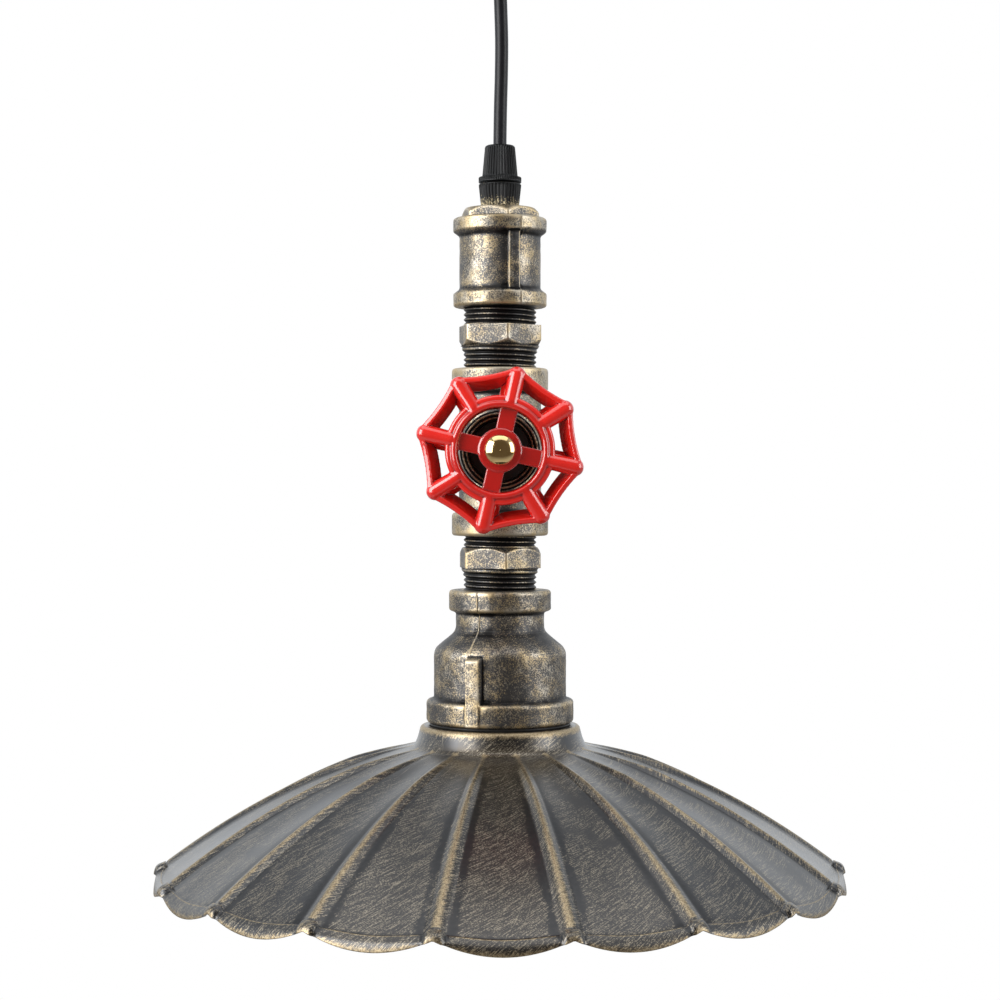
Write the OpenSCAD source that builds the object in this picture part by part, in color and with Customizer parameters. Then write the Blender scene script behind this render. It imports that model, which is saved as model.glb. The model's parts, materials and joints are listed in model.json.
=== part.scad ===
// Pendant lamp made of threaded pipe fittings, hung by its cord from a ceiling rose.
// Millimetres. The origin is on the ceiling at the rose's centre, and the lamp hangs along -Z.
// The valve wheel faces -Y.

/* [Ceiling rose] */
// Outer diameter of the rose
rose_d = 100; // [90:1:120]
// Height of the rose below the ceiling
rose_h = 25; // [22:1:34]
// Sheet thickness of the rose
rose_wall = 1.2; // [0.8:0.1:2]
// Rounding of the rose's lower edge
rose_round = 8; // [4:1:10]
// Thickness of the mounting strap
strap_t = 2; // [1.5:0.1:3]
// Width of the mounting strap
strap_w = 16; // [14:1:20]
// Distance between the two ceiling slots
slot_spacing = 70; // [62:1:72]
// Width of a ceiling slot
slot_w = 4.5; // [4:0.1:5.5]
// End to end length of a ceiling slot
slot_l = 12; // [8:0.5:14]
// Diameter of the rose's side screws
side_screw_d = 4; // [3:0.5:5]
// Height of the cord grip under the rose
rose_grip_h = 15; // [13:0.5:20]

/* [Cord] */
// Diameter of the cord
cord_d = 4.8; // [4:0.1:5.2]
// Free length of cord between the two grips
cord_drop = 58; // [50:1:80]

/* [Cord grip] */
// Diameter of the grip's cap at its top
cap_top_d = 10.8; // [9.5:0.1:11.5]
// Diameter of the grip's cap above its flange
cap_low_d = 12.9; // [12:0.1:14]
// Height of the cap above its flange
cap_h = 11.5; // [11:0.5:16]
// Diameter of the toothed flange and of the base's top
flange_d = 15.5; // [14.5:0.1:18]
// Thickness of the cap's flange
flange_t = 2; // [1.2:0.1:3]
// Diameter of the grip's base at its foot
base_foot_d = 13.6; // [12:0.1:15]
// Height of the grip's base
base_h = 8.9; // [5:0.1:10]
// Gap between the cap and the base
grip_gap = 0.5; // [0.3:0.1:1]
// Diameter of the grip's threaded stud
stud_d = 10; // [9:0.1:10.4]

/* [Pipe fittings] */
// Outer diameter of the pipe thread
thread_d = 26.4; // [25.4:0.1:26.8]
// Bore of the nipples
pipe_bore = 19; // [16:0.5:21]
// Height of the plug's hexagon
plug_h = 3.6; // [3:0.1:7]
// Width across corners of the plug
plug_corner_d = 29.6; // [28:0.1:33]
// Length of the coupling
coupling_l = 32.1; // [28:0.1:45]
// Diameter of the coupling's body
coupling_d = 29.4; // [28.6:0.1:32]
// Diameter of the coupling's beads
coupling_bead_d = 33.8; // [32.4:0.1:38]
// Height of a coupling bead
coupling_bead_h = 4.8; // [4:0.1:8]
// Width across corners of a nipple's hexagon
hex_corner_d = 31.6; // [30:0.1:34]
// Height of a nipple's hexagon
hex_h = 7.3; // [5:0.1:10]
// Bare thread above the upper nipple's hexagon
upper_thread_high = 6.7; // [3.5:0.1:9]
// Bare thread below the upper nipple's hexagon
upper_thread_low = 8.2; // [5:0.1:12]
// Bare thread above the lower nipple's hexagon
lower_thread_high = 4.3; // [3.5:0.1:9]
// Bare thread below the lower nipple's hexagon
lower_thread_low = 8; // [5:0.1:12]
// Length of the taper below a nipple's hexagon
shoulder_l = 3.2; // [1:0.1:4.5]
// Depth of thread inside a fitting
engaged = 9; // [6:0.5:11]

/* [Tee] */
// Length of the tee's run
tee_l = 60.4; // [56:0.1:72]
// Diameter of the tee's body
tee_d = 29.8; // [28.8:0.1:32]
// Diameter of the beads on the tee's run
tee_bead_d = 34.9; // [33:0.1:40]
// Height of the beads on the tee's run
tee_bead_h = 8; // [6:0.1:10]
// Distance from the run's axis to the branch's end
branch_l = 33; // [30:0.5:42]
// Diameter of the branch behind its bead
branch_d = 24.6; // [23.4:0.1:26.4]
// Diameter of the branch's bead
branch_bead_d = 28; // [26.6:0.1:31]
// Height of the branch's bead
branch_bead_h = 7; // [5:0.1:9]
// Bore of the branch
branch_bore = 21; // [20:0.1:22]

/* [Valve wheel] */
// Diameter of the stem
stem_d = 6; // [5:0.1:7]
// Diameter of the hub disc
hub_d = 15; // [13:0.1:18]
// Thickness of the hub disc
hub_t = 4; // [3:0.1:5]
// Gap between the branch's end and the hub
hub_gap = 8; // [7:0.1:12]
// Inner diameter of the ring
ring_in_d = 28.6; // [27:0.1:31]
// Outer diameter of the ring's front face
ring_face_d = 33.2; // [32:0.1:35]
// Outer diameter of the ring's skirt
ring_out_d = 37.4; // [36:0.1:40]
// How far the ring stands in front of the hub
ring_rise = 1.8; // [0.5:0.1:2.6]
// Number of fingers, half as many spokes
fingers = 8; // [6:2:10]
// Width of a finger
finger_w = 6; // [4.8:0.1:6.6]
// Overall diameter over the finger tips
wheel_d = 58.8; // [55:0.1:63]
// Backward slope of a finger
finger_slope = 12; // [0:1:20]
// Width of a spoke
spoke_w = 5.8; // [4.5:0.1:7]
// Width of the rim strip
rim_w = 8; // [6:0.1:9]
// Thickness of the rim strip
rim_t = 1.7; // [1.3:0.1:2.2]
// How far the rim bows in between two fingers
rim_bow = 0.9; // [0.3:0.1:1.6]
// Turn of the first spoke from the horizontal
wheel_turn = -12.7; // [-22:0.1:22]
// Diameter of the domed nut
nut_d = 10.4; // [9.4:0.1:12]
// Height of the straight part of the domed nut
nut_skirt = 3; // [2:0.1:5]

/* [Reducer] */
// Length of the reducer
reducer_l = 47.8; // [44:0.1:58]
// Diameter of the reducer's top bead
red_top_bead_d = 36.9; // [35:0.1:42]
// Height of the top bead
red_top_bead_h = 7.2; // [5:0.1:9]
// Diameter of the neck
red_neck_d = 31.9; // [30.4:0.1:34]
// Height of the neck
red_neck_h = 7.6; // [6:0.1:10]
// Height of the flare
red_flare_h = 6.6; // [6:0.1:10]
// Wall of the body
red_wall = 2.15; // [1.8:0.05:3]
// Rise of the bottom bead
red_bead_rise = 2.7; // [2:0.1:4]
// Height of the bottom bead
red_low_bead_h = 8; // [7:0.1:12]
// Room between the lampholder and the wide bore
holder_gap = 1.75; // [0.6:0.05:2.5]

/* [Lampholder] */
// Outer diameter of the lampholder's threaded body
holder_d = 40; // [38.6:0.1:41]
// Length of the lampholder
holder_l = 54; // [50:0.5:62]
// Bore of the screw shell
shell_bore = 26.6; // [26.4:0.1:27]
// Length of the screw shell
shell_l = 22; // [18:0.5:26]
// Wall of the screw shell
shell_wall = 0.5; // [0.3:0.1:0.8]
// Width of the upper shade ring
upper_ring_w = 5.5; // [4:0.1:6.5]
// Thickness of the upper shade ring
upper_ring_t = 1; // [0.8:0.1:3]
// Width of the lower shade ring
lower_ring_w = 5; // [3:0.1:6.5]
// Height of the lower shade ring
lower_ring_h = 6; // [4:0.1:9]

/* [Shade] */
// Number of panels
panels = 18; // [12:1:24]
// Radius of the rim at a ridge
rim_r = 124; // [110:0.1:135]
// Fall from the collar to the rim along a ridge
shade_fall = 43.7; // [36:0.1:56]
// Slope where the panels leave the collar
shade_slope = 0.23; // [0.1:0.01:0.4]
// Room between the lower ring and the collar
collar_gap = 3.8; // [2.6:0.1:5]
// How far the collar widens to its foot
collar_flare = 2.7; // [1.6:0.1:5]
// Height of the collar
collar_h = 7.6; // [5:0.1:9.5]
// Thickness of the sheet
shade_t = 1; // [0.7:0.1:1.4]
// Height of a ridge
ridge_h = 1.7; // [0.8:0.1:2.4]
// Half width of a ridge at the collar
ridge_half_top = 2.1; // [1.4:0.1:2.4]
// Half width of a ridge at the rim
ridge_half_rim = 4.2; // [2.5:0.1:5]
// Sag of a panel between two ridges
panel_sag = 1.1; // [0:0.1:2.5]
// Depth of the lip at a ridge
lip_ridge = 1.2; // [1:0.1:3]
// Depth of the lip in the middle of a panel
lip_panel = 6.1; // [5:0.1:9]
// Turn of the first ridge from the view direction
shade_turn = 10.5; // [0:0.1:19]

/* [Fits] */
// Radial clearance of a thread or a slipped fit
slip = 0.05; // [0.03:0.01:0.1]
// Radial clearance round the cord
cord_slip = 0.2; // [0.15:0.05:0.3]

/* [Hidden] */
$fn = 64;
cut = 1;

bronze = [0.42, 0.37, 0.28];
dark_bronze = [0.3, 0.28, 0.25];
black = [0.05, 0.05, 0.055];
red = [0.78, 0.06, 0.05];
brass = [0.8, 0.62, 0.28];
steel = [0.7, 0.7, 0.72];
white = [0.9, 0.89, 0.86];

thread_r = thread_d / 2;
bore_r = thread_r + slip;
cord_bore_r = cord_d / 2 + cord_slip;
stud_r = stud_d / 2;
red_bore = holder_d + 2 * holder_gap;
red_body_d = red_bore + 2 * red_wall;
red_low_bead_d = red_body_d + 2 * red_bead_rise;
upper_ring_d = holder_d + 2 * upper_ring_w;
lower_ring_d = holder_d + 2 * lower_ring_w;
collar_top_r = lower_ring_d / 2 + collar_gap;
collar_foot_r = collar_top_r + collar_flare;

// Turns from the viewer's side, which is -Y, of the hexagon corners and the casting ribs
front = -90;
plug_turn = 11.6;
upper_hex_turn = 10.6;
lower_hex_turn = 8;
coupling_rib_turn = 19.5;
reducer_rib_turn = -22;

// Heights of the faces where one piece sits on the next, from the ceiling down
z_rose_floor = -rose_h;
z_rose_mouth = z_rose_floor - rose_grip_h;
z_cap_top = z_rose_mouth - cord_drop;
z_flange = z_cap_top - cap_h;
z_cap_foot = z_flange - flange_t;
z_base_top = z_cap_foot - grip_gap;
z_plug = z_base_top - base_h;
z_coupling = z_plug - plug_h;
z_upper_nipple = z_coupling - coupling_l;
z_tee = z_upper_nipple - upper_thread_high - hex_h - upper_thread_low;
z_branch = z_tee - tee_l / 2;
z_lower_nipple = z_tee - tee_l;
z_reducer = z_lower_nipple - lower_thread_high - hex_h - lower_thread_low;
z_red_foot = z_reducer - reducer_l;
z_collar = z_red_foot - upper_ring_t;
z_panel = z_collar - collar_h;
red_web_t = 4;
red_pocket = 3;
z_red_web = z_reducer - engaged - red_pocket;
z_holder = z_red_web - red_web_t;
z_holder_foot = z_holder - holder_l;

// Small parts
nut_t = 3;
nut_corner_d = 16;
spigot_l = 9;
collet_h = 3;
neck_h = 5;
neck_r = cap_low_d / 2 - 2;
washer_t = 1;
strap_room = 8;
strap_l = rose_d - 2 * rose_wall - strap_room;
ear_h = 13;
z_side_screw = -8.5;
screw_head_h = 2.6;
block = [18, 13, 9];
block_x = 8;
lead_r = 1;
lead_gap = 3.2;
contact_room = 4;
shell_inset = 0.6;

// Points of a profile written as [x, y, corner radius], with each corner turned into an arc
function unit(v) = v / norm(v);
function flat(p) = [p[0], p[1]];
function corner(p, a, b, r, n) =
    let(u = unit(a - p), v = unit(b - p), half = acos(u * v) / 2)
    let(c = p + unit(u + v) * r / sin(half), s = p + u * r / tan(half), e = p + v * r / tan(half))
    let(from = atan2(s[1] - c[1], s[0] - c[0]), turn = atan2(e[1] - c[1], e[0] - c[0]) - from)
    let(sweep = turn > 180 ? turn - 360 : turn < -180 ? turn + 360 : turn)
    [for (k = [0 : n]) c + r * [cos(from + sweep * k / n), sin(from + sweep * k / n)]];
function rounded(points, n = 3) =
    let(last = len(points))
    [for (i = [0 : last - 1])
        let(p = points[i], a = points[(i + last - 1) % last], b = points[(i + 1) % last])
        each p[2] == 0 ? [flat(p)] : corner(flat(p), flat(a), flat(b), p[2], n)];

module turned(points) {
    rotate_extrude() polygon(rounded(points));
}

// A round bar from z = low to z = high
module bar(r, low, high) {
    translate([0, 0, low]) cylinder(r = r, h = high - low);
}

// A hexagon whose corners are taken off by a turned profile
module hexagon(corner_d, low, high, chamfer_low, chamfer_high) {
    r = corner_d / 2;
    flat_r = r * cos(30);
    rise_high = chamfer_high ? (r - flat_r) * 0.9 : 0;
    rise_low = chamfer_low ? (r - flat_r) * 0.9 : 0;
    r_high = chamfer_high ? flat_r - 0.2 : r;
    r_low = chamfer_low ? flat_r - 0.2 : r;
    intersection() {
        translate([0, 0, low]) cylinder(r = r, h = high - low, $fn = 6);
        rotate_extrude() polygon([[0, low], [r_low, low], [r + 0.2, low + rise_low],
                                  [r + 0.2, high - rise_high], [r_high, high], [0, high]]);
    }
}

module locknut(z, hole_r) {
    difference() {
        hexagon(nut_corner_d, z, z + nut_t, true, true);
        bar(hole_r, z - cut, z + nut_t + cut);
    }
}

// A round tube swept along a list of points, all of them rising or falling along Z
module swept(points, r, sides) {
    rows = len(points);
    ring = [for (p = points) for (k = [0 : sides - 1])
        p + r * [cos(360 * k / sides), sin(360 * k / sides), 0]];
    walls = [for (i = [0 : rows - 2]) for (k = [0 : sides - 1])
        let(a = i * sides + k, b = i * sides + (k + 1) % sides)
        each [[a, b, b + sides], [a, b + sides, a + sides]]];
    caps = [for (k = [1 : sides - 2]) each [[0, k + 1, k],
            [(rows - 1) * sides, (rows - 1) * sides + k, (rows - 1) * sides + k + 1]]];
    polyhedron([for (p = ring) p], [for (f = concat(walls, caps)) [f[0], f[2], f[1]]]);
}

// Ceiling rose and its fixings

module mounting_strap() {
    color(steel) difference() {
        union() {
            translate([-strap_l / 2, -strap_w / 2, -strap_t]) cube([strap_l, strap_w, strap_t]);
            for (side = [-1, 1])
                translate([side * (strap_l - strap_t) / 2 - strap_t / 2, -strap_w / 2, -ear_h])
                    cube([strap_t, strap_w, ear_h]);
        }
        for (side = [-1, 1]) {
            translate([side * slot_spacing / 2, 0, -strap_t - cut]) slot(strap_t + 2 * cut);
            translate([side * strap_l / 2, 0, z_side_screw]) rotate([0, 90, 0])
                cylinder(d = side_screw_d + 2 * slip, h = 4 * strap_t, center = true);
        }
    }
}

module slot(h) {
    straight = slot_l - slot_w;
    translate([-straight / 2, -slot_w / 2, 0]) cube([straight, slot_w, h]);
    for (end = [-1, 1]) translate([end * straight / 2, 0, 0]) cylinder(d = slot_w, h = h);
}

module ceiling_rose() {
    r = rose_d / 2;
    color(dark_bronze) difference() {
        turned([[0, z_rose_floor, 0], [r, z_rose_floor, rose_round], [r, 0, 0], [r - rose_wall, 0, 0],
                [r - rose_wall, z_rose_floor + rose_wall, rose_round - rose_wall],
                [0, z_rose_floor + rose_wall, 0]]);
        bar(stud_r + slip, z_rose_floor - cut, z_rose_floor + rose_wall + cut);
        for (side = [-1, 1])
            translate([side * r, 0, z_side_screw]) rotate([0, 90, 0])
                cylinder(d = side_screw_d + 2 * slip, h = 6 * rose_wall, center = true);
    }
}

module rose_screws() {
    r = rose_d / 2;
    shank = (rose_d - strap_l) / 2 + 2 * strap_t;
    color(brass) for (turn = [0, 180])
        rotate(turn) translate([r, 0, z_side_screw]) rotate([0, 90, 0]) rotate_extrude()
            polygon(rounded([[0, -shank, 0], [side_screw_d / 2, -shank, 0], [side_screw_d / 2, 0, 0],
                             [side_screw_d, 0, 0], [side_screw_d, screw_head_h, 1.2],
                             [0, screw_head_h, 0]]));
}

module terminal_block() {
    color(white) translate([block_x, -block[1] / 2, -strap_t - block[2]]) difference() {
        cube(block);
        for (x = [block[0] / 4, block[0] * 3 / 4]) {
            translate([x, -cut, block[2] / 2]) rotate([-90, 0, 0])
                cylinder(d = 3.4, h = block[1] + 2 * cut);
            for (y = [block[1] / 4, block[1] * 3 / 4])
                translate([x, y, -cut]) cylinder(d = 3, h = block[2] / 2 + cut);
        }
    }
}

module rose_grip_base() {
    foot_h = rose_grip_h * 0.4;
    color(black) difference() {
        union() {
            turned([[0, z_rose_floor - foot_h, 0], [flange_d / 2 - 0.4, z_rose_floor - foot_h, 0.6],
                    [flange_d / 2, z_rose_floor, 0], [0, z_rose_floor, 0]]);
            bar(stud_r, z_rose_floor - cut, z_rose_floor + rose_wall + nut_t + 2);
        }
        bar(cord_bore_r, z_rose_floor - foot_h - cut, 0);
    }
}

module rose_grip_cap() {
    top = z_rose_floor - rose_grip_h * 0.4;
    color(black) difference() {
        turned([[0, z_rose_mouth, 0], [cap_top_d / 2, z_rose_mouth, 1], [cap_low_d / 2, top - flange_t, 0],
                [flange_d / 2, top - flange_t, 0.4], [flange_d / 2, top, 0], [0, top, 0]]);
        bar(cord_bore_r, z_rose_mouth - cut, top + cut);
    }
}

module rose_locknut() {
    color(steel) locknut(z_rose_floor + rose_wall, stud_r + slip);
}

// Cord, in two stretches that meet at the mouth of the rose's grip

tail_top = [1.5, 2, -12];
tail_step = 2;
tail_run = 6;
cord_sides = 10;
cord_foot = z_coupling - spigot_l - 1;
// Points of the hanging cord below the mouth, as a side step and a share of the free drop
cord_sway = [[0, 0], [0.3, 0.15], [0.6, 0.35], [0.5, 0.55], [0.2, 0.75], [0, 0.95]];

module cord_tail() {
    bend = [[0, 0, z_rose_mouth + cord_d], [0, 0, z_rose_floor - tail_step], [0, 0, z_rose_floor + tail_run],
            [0.6, 0.8, -16], tail_top];
    color(black) swept(bend, cord_d / 2, cord_sides);
}

module pendant_cord() {
    free = [for (s = cord_sway) [s[0], 0, z_rose_mouth - s[1] * cord_drop]];
    inside = [[0, 0, z_cap_top - 2], [0, 0, z_cap_foot], [0, 0, z_plug], [0, 0, cord_foot]];
    color(black) swept(concat(free, inside), cord_d / 2, cord_sides);
}

// Cord grip on top of the lamp

module cord_grip_cap() {
    color(black) difference() {
        turned([[0, z_cap_foot, 0], [flange_d / 2, z_cap_foot, 0.3], [flange_d / 2, z_flange, 0.3],
                [cap_low_d / 2, z_flange, 0], [cap_top_d / 2, z_cap_top, 1], [0, z_cap_top, 0]]);
        bar(cord_bore_r, z_cap_foot - cut, z_cap_top + cut);
        bar(neck_r + slip, z_cap_foot - cut, z_cap_foot - grip_gap + neck_h + collet_h);
    }
}

module grip_collet() {
    z = z_base_top + neck_h;
    color(white) difference() {
        bar(neck_r, z, z + collet_h - slip);
        bar(cord_bore_r, z - cut, z + collet_h + cut);
    }
}

module cord_grip_base() {
    color(black) difference() {
        union() {
            turned([[0, z_plug, 0], [base_foot_d / 2, z_plug, 0], [flange_d / 2, z_base_top, 0.4],
                    [0, z_base_top, 0]]);
            bar(neck_r, z_base_top - cut, z_base_top + neck_h);
            bar(stud_r, z_plug - spigot_l - plug_h, z_plug + cut);
        }
        bar(cord_bore_r, z_plug - spigot_l - plug_h - cut, z_base_top + neck_h + cut);
    }
}

module grip_locknut() {
    color(steel) locknut(z_plug - plug_h - nut_t, stud_r + slip);
}

// Pipe fittings

module top_plug() {
    skirt = engaged;
    color(bronze) rotate(front + plug_turn) difference() {
        union() {
            hexagon(plug_corner_d, z_coupling, z_plug, false, true);
            bar(thread_r, z_coupling - skirt, z_coupling + cut);
        }
        bar(stud_r + slip, z_coupling - cut, z_plug + cut);
        bar(pipe_bore / 2, z_coupling - skirt - cut, z_coupling);
    }
}

bead_round = 1;
// A cast sleeve with a rounded bead at each end, and a slope from each bead to the body
function sleeve(z, l, body_d, bead_d, bead_h, slope) =
    let(r = body_d / 2, bead_r = bead_d / 2, high = z - bead_h, low = z - l + bead_h)
    [[0, z, 0], [bead_r, z, bead_round], [bead_r, high, bead_round], [r, high - slope, slope],
     [r, low + slope, slope], [bead_r, low, bead_round], [bead_r, z - l, bead_round], [0, z - l, 0]];

// A raised casting rib from low to high, standing out to radius r
module cast_rib(turn, r, width, low, high) {
    rotate(turn) translate([r / 2, 0, (low + high) / 2]) cube([r, width, high - low], center = true);
}

coupling_slope = 1.5;
rib_w = 4;
rib_rise = 1;

module coupling() {
    rib_end = coupling_bead_h / 2;
    rib_r = coupling_d / 2 + rib_rise;
    color(bronze) difference() {
        union() {
            turned(sleeve(z_coupling, coupling_l, coupling_d, coupling_bead_d, coupling_bead_h,
                          coupling_slope));
            cast_rib(front + coupling_rib_turn, rib_r, rib_w, z_upper_nipple + rib_end, z_coupling - rib_end);
        }
        bar(bore_r, z_upper_nipple - cut, z_coupling + cut);
    }
}

// A hexagon nipple whose upper fitting ends at z, with a taper from the hexagon down to the thread
module nipple(z, high, low, turn, chamfer_high) {
    hex_top = z - high;
    hex_low = hex_top - hex_h;
    end = hex_low - low - engaged;
    taper_r = hex_corner_d / 2 * cos(30);
    color(bronze) rotate(front + turn) difference() {
        union() {
            hexagon(hex_corner_d, hex_low, hex_top, !chamfer_high, chamfer_high);
            bar(thread_r, end, z + engaged);
            translate([0, 0, hex_low - shoulder_l]) cylinder(r1 = thread_r, r2 = taper_r, h = shoulder_l);
        }
        bar(pipe_bore / 2, end - cut, z + engaged + cut);
    }
}

module upper_nipple() {
    nipple(z_upper_nipple, upper_thread_high, upper_thread_low, upper_hex_turn, false);
}

module lower_nipple() {
    nipple(z_lower_nipple, lower_thread_high, lower_thread_low, lower_hex_turn, true);
}

// Places the children with their +Z along the branch, starting at the run's axis
module along_branch() {
    translate([0, 0, z_branch]) rotate([90, 0, 0]) children();
}

tee_slope = 0.8;
mouth_chamfer = 0.9;

module tee() {
    bead_r = branch_bead_d / 2;
    neck = branch_l - branch_bead_h;
    bore = branch_bore / 2;
    color(bronze) difference() {
        union() {
            turned(sleeve(z_tee, tee_l, tee_d, tee_bead_d, tee_bead_h, tee_slope));
            along_branch()
                turned([[0, 0, 0], [branch_d / 2, 0, 0], [branch_d / 2, neck - tee_slope, tee_slope],
                        [bead_r, neck, bead_round], [bead_r, branch_l, bead_round], [0, branch_l, 0]]);
        }
        bar(bore_r, z_lower_nipple - cut, z_tee + cut);
        along_branch() turned([[0, 0, 0], [bore, 0, 0], [bore, branch_l - mouth_chamfer, 0],
                               [bore + mouth_chamfer, branch_l, 0], [bore + mouth_chamfer, branch_l + cut, 0],
                               [0, branch_l + cut, 0]]);
    }
}

// Switch in the branch, turned by the wheel

bush_depth = 7;
bush_t = 6;
bush_front = branch_l - bush_depth;
switch_front = bush_front - bush_t;
switch_l = 15;
rotor_t = 4;
rotor_z = switch_front - 4 - rotor_t;

module gland_bush() {
    color(dark_bronze) along_branch() difference() {
        union() {
            bar(branch_bore / 2 - slip, switch_front, bush_front);
            bar(stem_d / 2 + 2.4, bush_front - cut, bush_front + 3);
        }
        bar(stem_d / 2 + slip, switch_front - cut, bush_front + 4);
    }
}

module switch_body() {
    r = branch_bore / 2 - 0.6;
    wall = 1.6;
    color(black) along_branch() difference() {
        bar(r, switch_front - switch_l, switch_front);
        bar(r - wall, switch_front - switch_l + wall, switch_front - wall);
        bar(stem_d / 2 + 0.4, switch_front - wall - cut, switch_front + cut);
    }
}

module switch_rotor() {
    arm = branch_bore / 2 - 0.6 - 1.6 - 0.6;
    color(white) along_branch() difference() {
        union() {
            bar(stem_d / 2 + 2, rotor_z, rotor_z + rotor_t);
            translate([-arm + 1, -1.2, rotor_z]) cube([2 * arm - 2, 2.4, rotor_t]);
        }
        bar(stem_d / 2 + slip, rotor_z - cut, rotor_z + rotor_t + cut);
    }
}

hub_back = branch_l + hub_gap;
hub_front = hub_back + hub_t;
nut_side = nut_skirt + 0.8;
nut_tilt = 42;
nut_dome_r = nut_d / 2 / sin(nut_tilt);
nut_centre = hub_front + nut_side - nut_dome_r * cos(nut_tilt);

module stem() {
    shoulder_r = stem_d / 2 + 1.4;
    color(brass) along_branch() union() {
        bar(stem_d / 2, rotor_z - 1, hub_front + nut_skirt);
        bar(shoulder_r, bush_front + 3.4, hub_back - washer_t);
    }
}

module wheel_washer() {
    color(steel) along_branch() difference() {
        bar(hub_d / 2 - 1.5, hub_back - washer_t, hub_back);
        bar(stem_d / 2 + slip, hub_back - washer_t - cut, hub_back + cut);
    }
}

// Cast wheel: hub, spokes, stepped ring, round-nosed fingers and bowed rim strips

ring_front = hub_front + ring_rise;
ring_step = 0.9;
spoke_inset = 0.5;
finger_r = finger_w / 2;
finger_root_r = finger_r * 0.86;
finger_z = ring_front - finger_r + 0.4;
finger_end = wheel_d / 2 - finger_r;
finger_start = ring_face_d / 2 - 0.6;
half_gap = 180 / fingers;
rim_mid_r = wheel_d / 2 - finger_r + 0.2;
rim_lean = 114;
rim_sink = 2;
rim_z = finger_z - (rim_mid_r - finger_start) * sin(finger_slope) - rim_sink;

module handwheel() {
    spokes = fingers / 2;
    color(red) along_branch() rotate(wheel_turn) difference() {
        union() {
            turned([[0, hub_back, 0], [hub_d / 2, hub_back, 0], [hub_d / 2, hub_front, 0.8],
                    [0, hub_front, 0]]);
            for (k = [0 : spokes - 1])
                rotate(k * 360 / spokes) translate([hub_d / 2 - 1.2, -spoke_w / 2, hub_back + spoke_inset])
                    cube([(ring_in_d - hub_d) / 2 + 2.4, spoke_w, hub_t - 2 * spoke_inset]);
            wheel_ring();
            for (k = [0 : fingers - 1]) rotate(k * 360 / fingers) finger();
            for (k = [0 : fingers - 1]) rotate((k + 0.5) * 360 / fingers) rim_strip();
        }
        bar(stem_d / 2 + slip, hub_back - cut, hub_front + cut);
    }
}

module wheel_ring() {
    rotate_extrude() polygon(rounded([
        [ring_in_d / 2, hub_back, 0.5], [ring_out_d / 2, hub_back, 0.8],
        [ring_out_d / 2, ring_front - ring_step - 0.4, 0.8], [ring_face_d / 2, ring_front - ring_step, 0.4],
        [ring_face_d / 2, ring_front, 0.8], [ring_in_d / 2 + 0.6, ring_front, 0.8]]));
}

// A bar with a round nose, and the flank that carries it on one side
module finger() {
    l = finger_end - finger_start + finger_r;
    nose = rounded([[0, 0, 0], [finger_root_r, 0, 0], [finger_r, l, finger_r * 0.9], [0, l, 0]], 6);
    translate([finger_start, 0, finger_z]) rotate([0, 90 + finger_slope, 0]) rotate_extrude() polygon(nose);
    flank = ring_out_d / 2 - 1;
    translate([flank, 0, finger_z - flank_drop]) rotate([0, finger_slope, 0]) rotate([flank_lean, 0, 0])
        translate([0, -flank_t / 2, -flank_h]) cube([rim_mid_r - flank, flank_t, flank_h]);
}

flank_lean = 34;
flank_h = 6.6;
flank_t = 1.7;
flank_drop = 0.8;

// A thin strip between two fingers, bowed towards the hub, its back edge nearer to the hub than its front
module rim_strip() {
    chord_r = rim_mid_r * cos(half_gap);
    half_chord = rim_mid_r * sin(half_gap);
    arc_r = (half_chord * half_chord + rim_bow * rim_bow) / (2 * rim_bow);
    span = asin(half_chord / arc_r);
    translate([chord_r - rim_bow + arc_r, 0, rim_z]) rotate(180 - span)
        rotate_extrude(angle = 2 * span, $fn = 128) translate([arc_r, 0]) rotate(rim_lean) {
            square([rim_w, rim_t], center = true);
        }
}

// A low dome on a round side
module cap_nut() {
    r = nut_d / 2;
    dome = [for (k = [0 : 7]) let(a = nut_tilt * (1 - k / 7))
        [nut_dome_r * sin(a), nut_centre + nut_dome_r * cos(a)]];
    color(brass) along_branch() difference() {
        rotate_extrude() polygon(concat([[0, hub_front], [r - 0.2, hub_front], [r, hub_front + 0.2]], dome));
        bar(stem_d / 2 + slip, hub_front - cut, hub_front + nut_skirt + slip);
    }
}

// Reducer and the lampholder in it

red_slope = 0.9;
red_rib_w = 5.6;
red_rib_gap = 2.5;
bead_rib_rise = 0.3;

module reducer() {
    neck_low = z_reducer - red_top_bead_h - red_neck_h;
    body_top = neck_low - red_flare_h;
    bead_top = z_red_foot + red_low_bead_h;
    rib_top = body_top - red_rib_gap;
    top_r = red_top_bead_d / 2;
    low_r = red_low_bead_d / 2;
    throat_r = red_neck_d / 2;
    body_r = red_body_d / 2;
    color(bronze) difference() {
        union() {
            turned([[0, z_reducer, 0], [top_r, z_reducer, bead_round],
                    [top_r, z_reducer - red_top_bead_h, bead_round],
                    [throat_r, z_reducer - red_top_bead_h - red_slope, red_slope], [throat_r, neck_low, 4],
                    [body_r, body_top, 4.5], [body_r, bead_top + red_slope, red_slope],
                    [low_r, bead_top, bead_round], [low_r, z_red_foot, bead_round], [0, z_red_foot, 0]]);
            cast_rib(front + reducer_rib_turn, low_r + bead_rib_rise, red_rib_w, z_red_foot + 0.6, rib_top);
        }
        bar(bore_r, z_red_web, z_reducer + cut);
        bar(stud_r + slip, z_holder - cut, z_red_web + cut);
        turned([[0, z_red_foot - cut, 0], [red_bore / 2, z_red_foot - cut, 0],
                [red_bore / 2, body_top - red_wall, 0], [thread_r - 1, z_holder, 0], [0, z_holder, 0]]);
    }
}

// The holder's shoulder follows the inside of the flare
holder_cap_r = thread_r - 1.6;
holder_bore_depth = 8;

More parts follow.
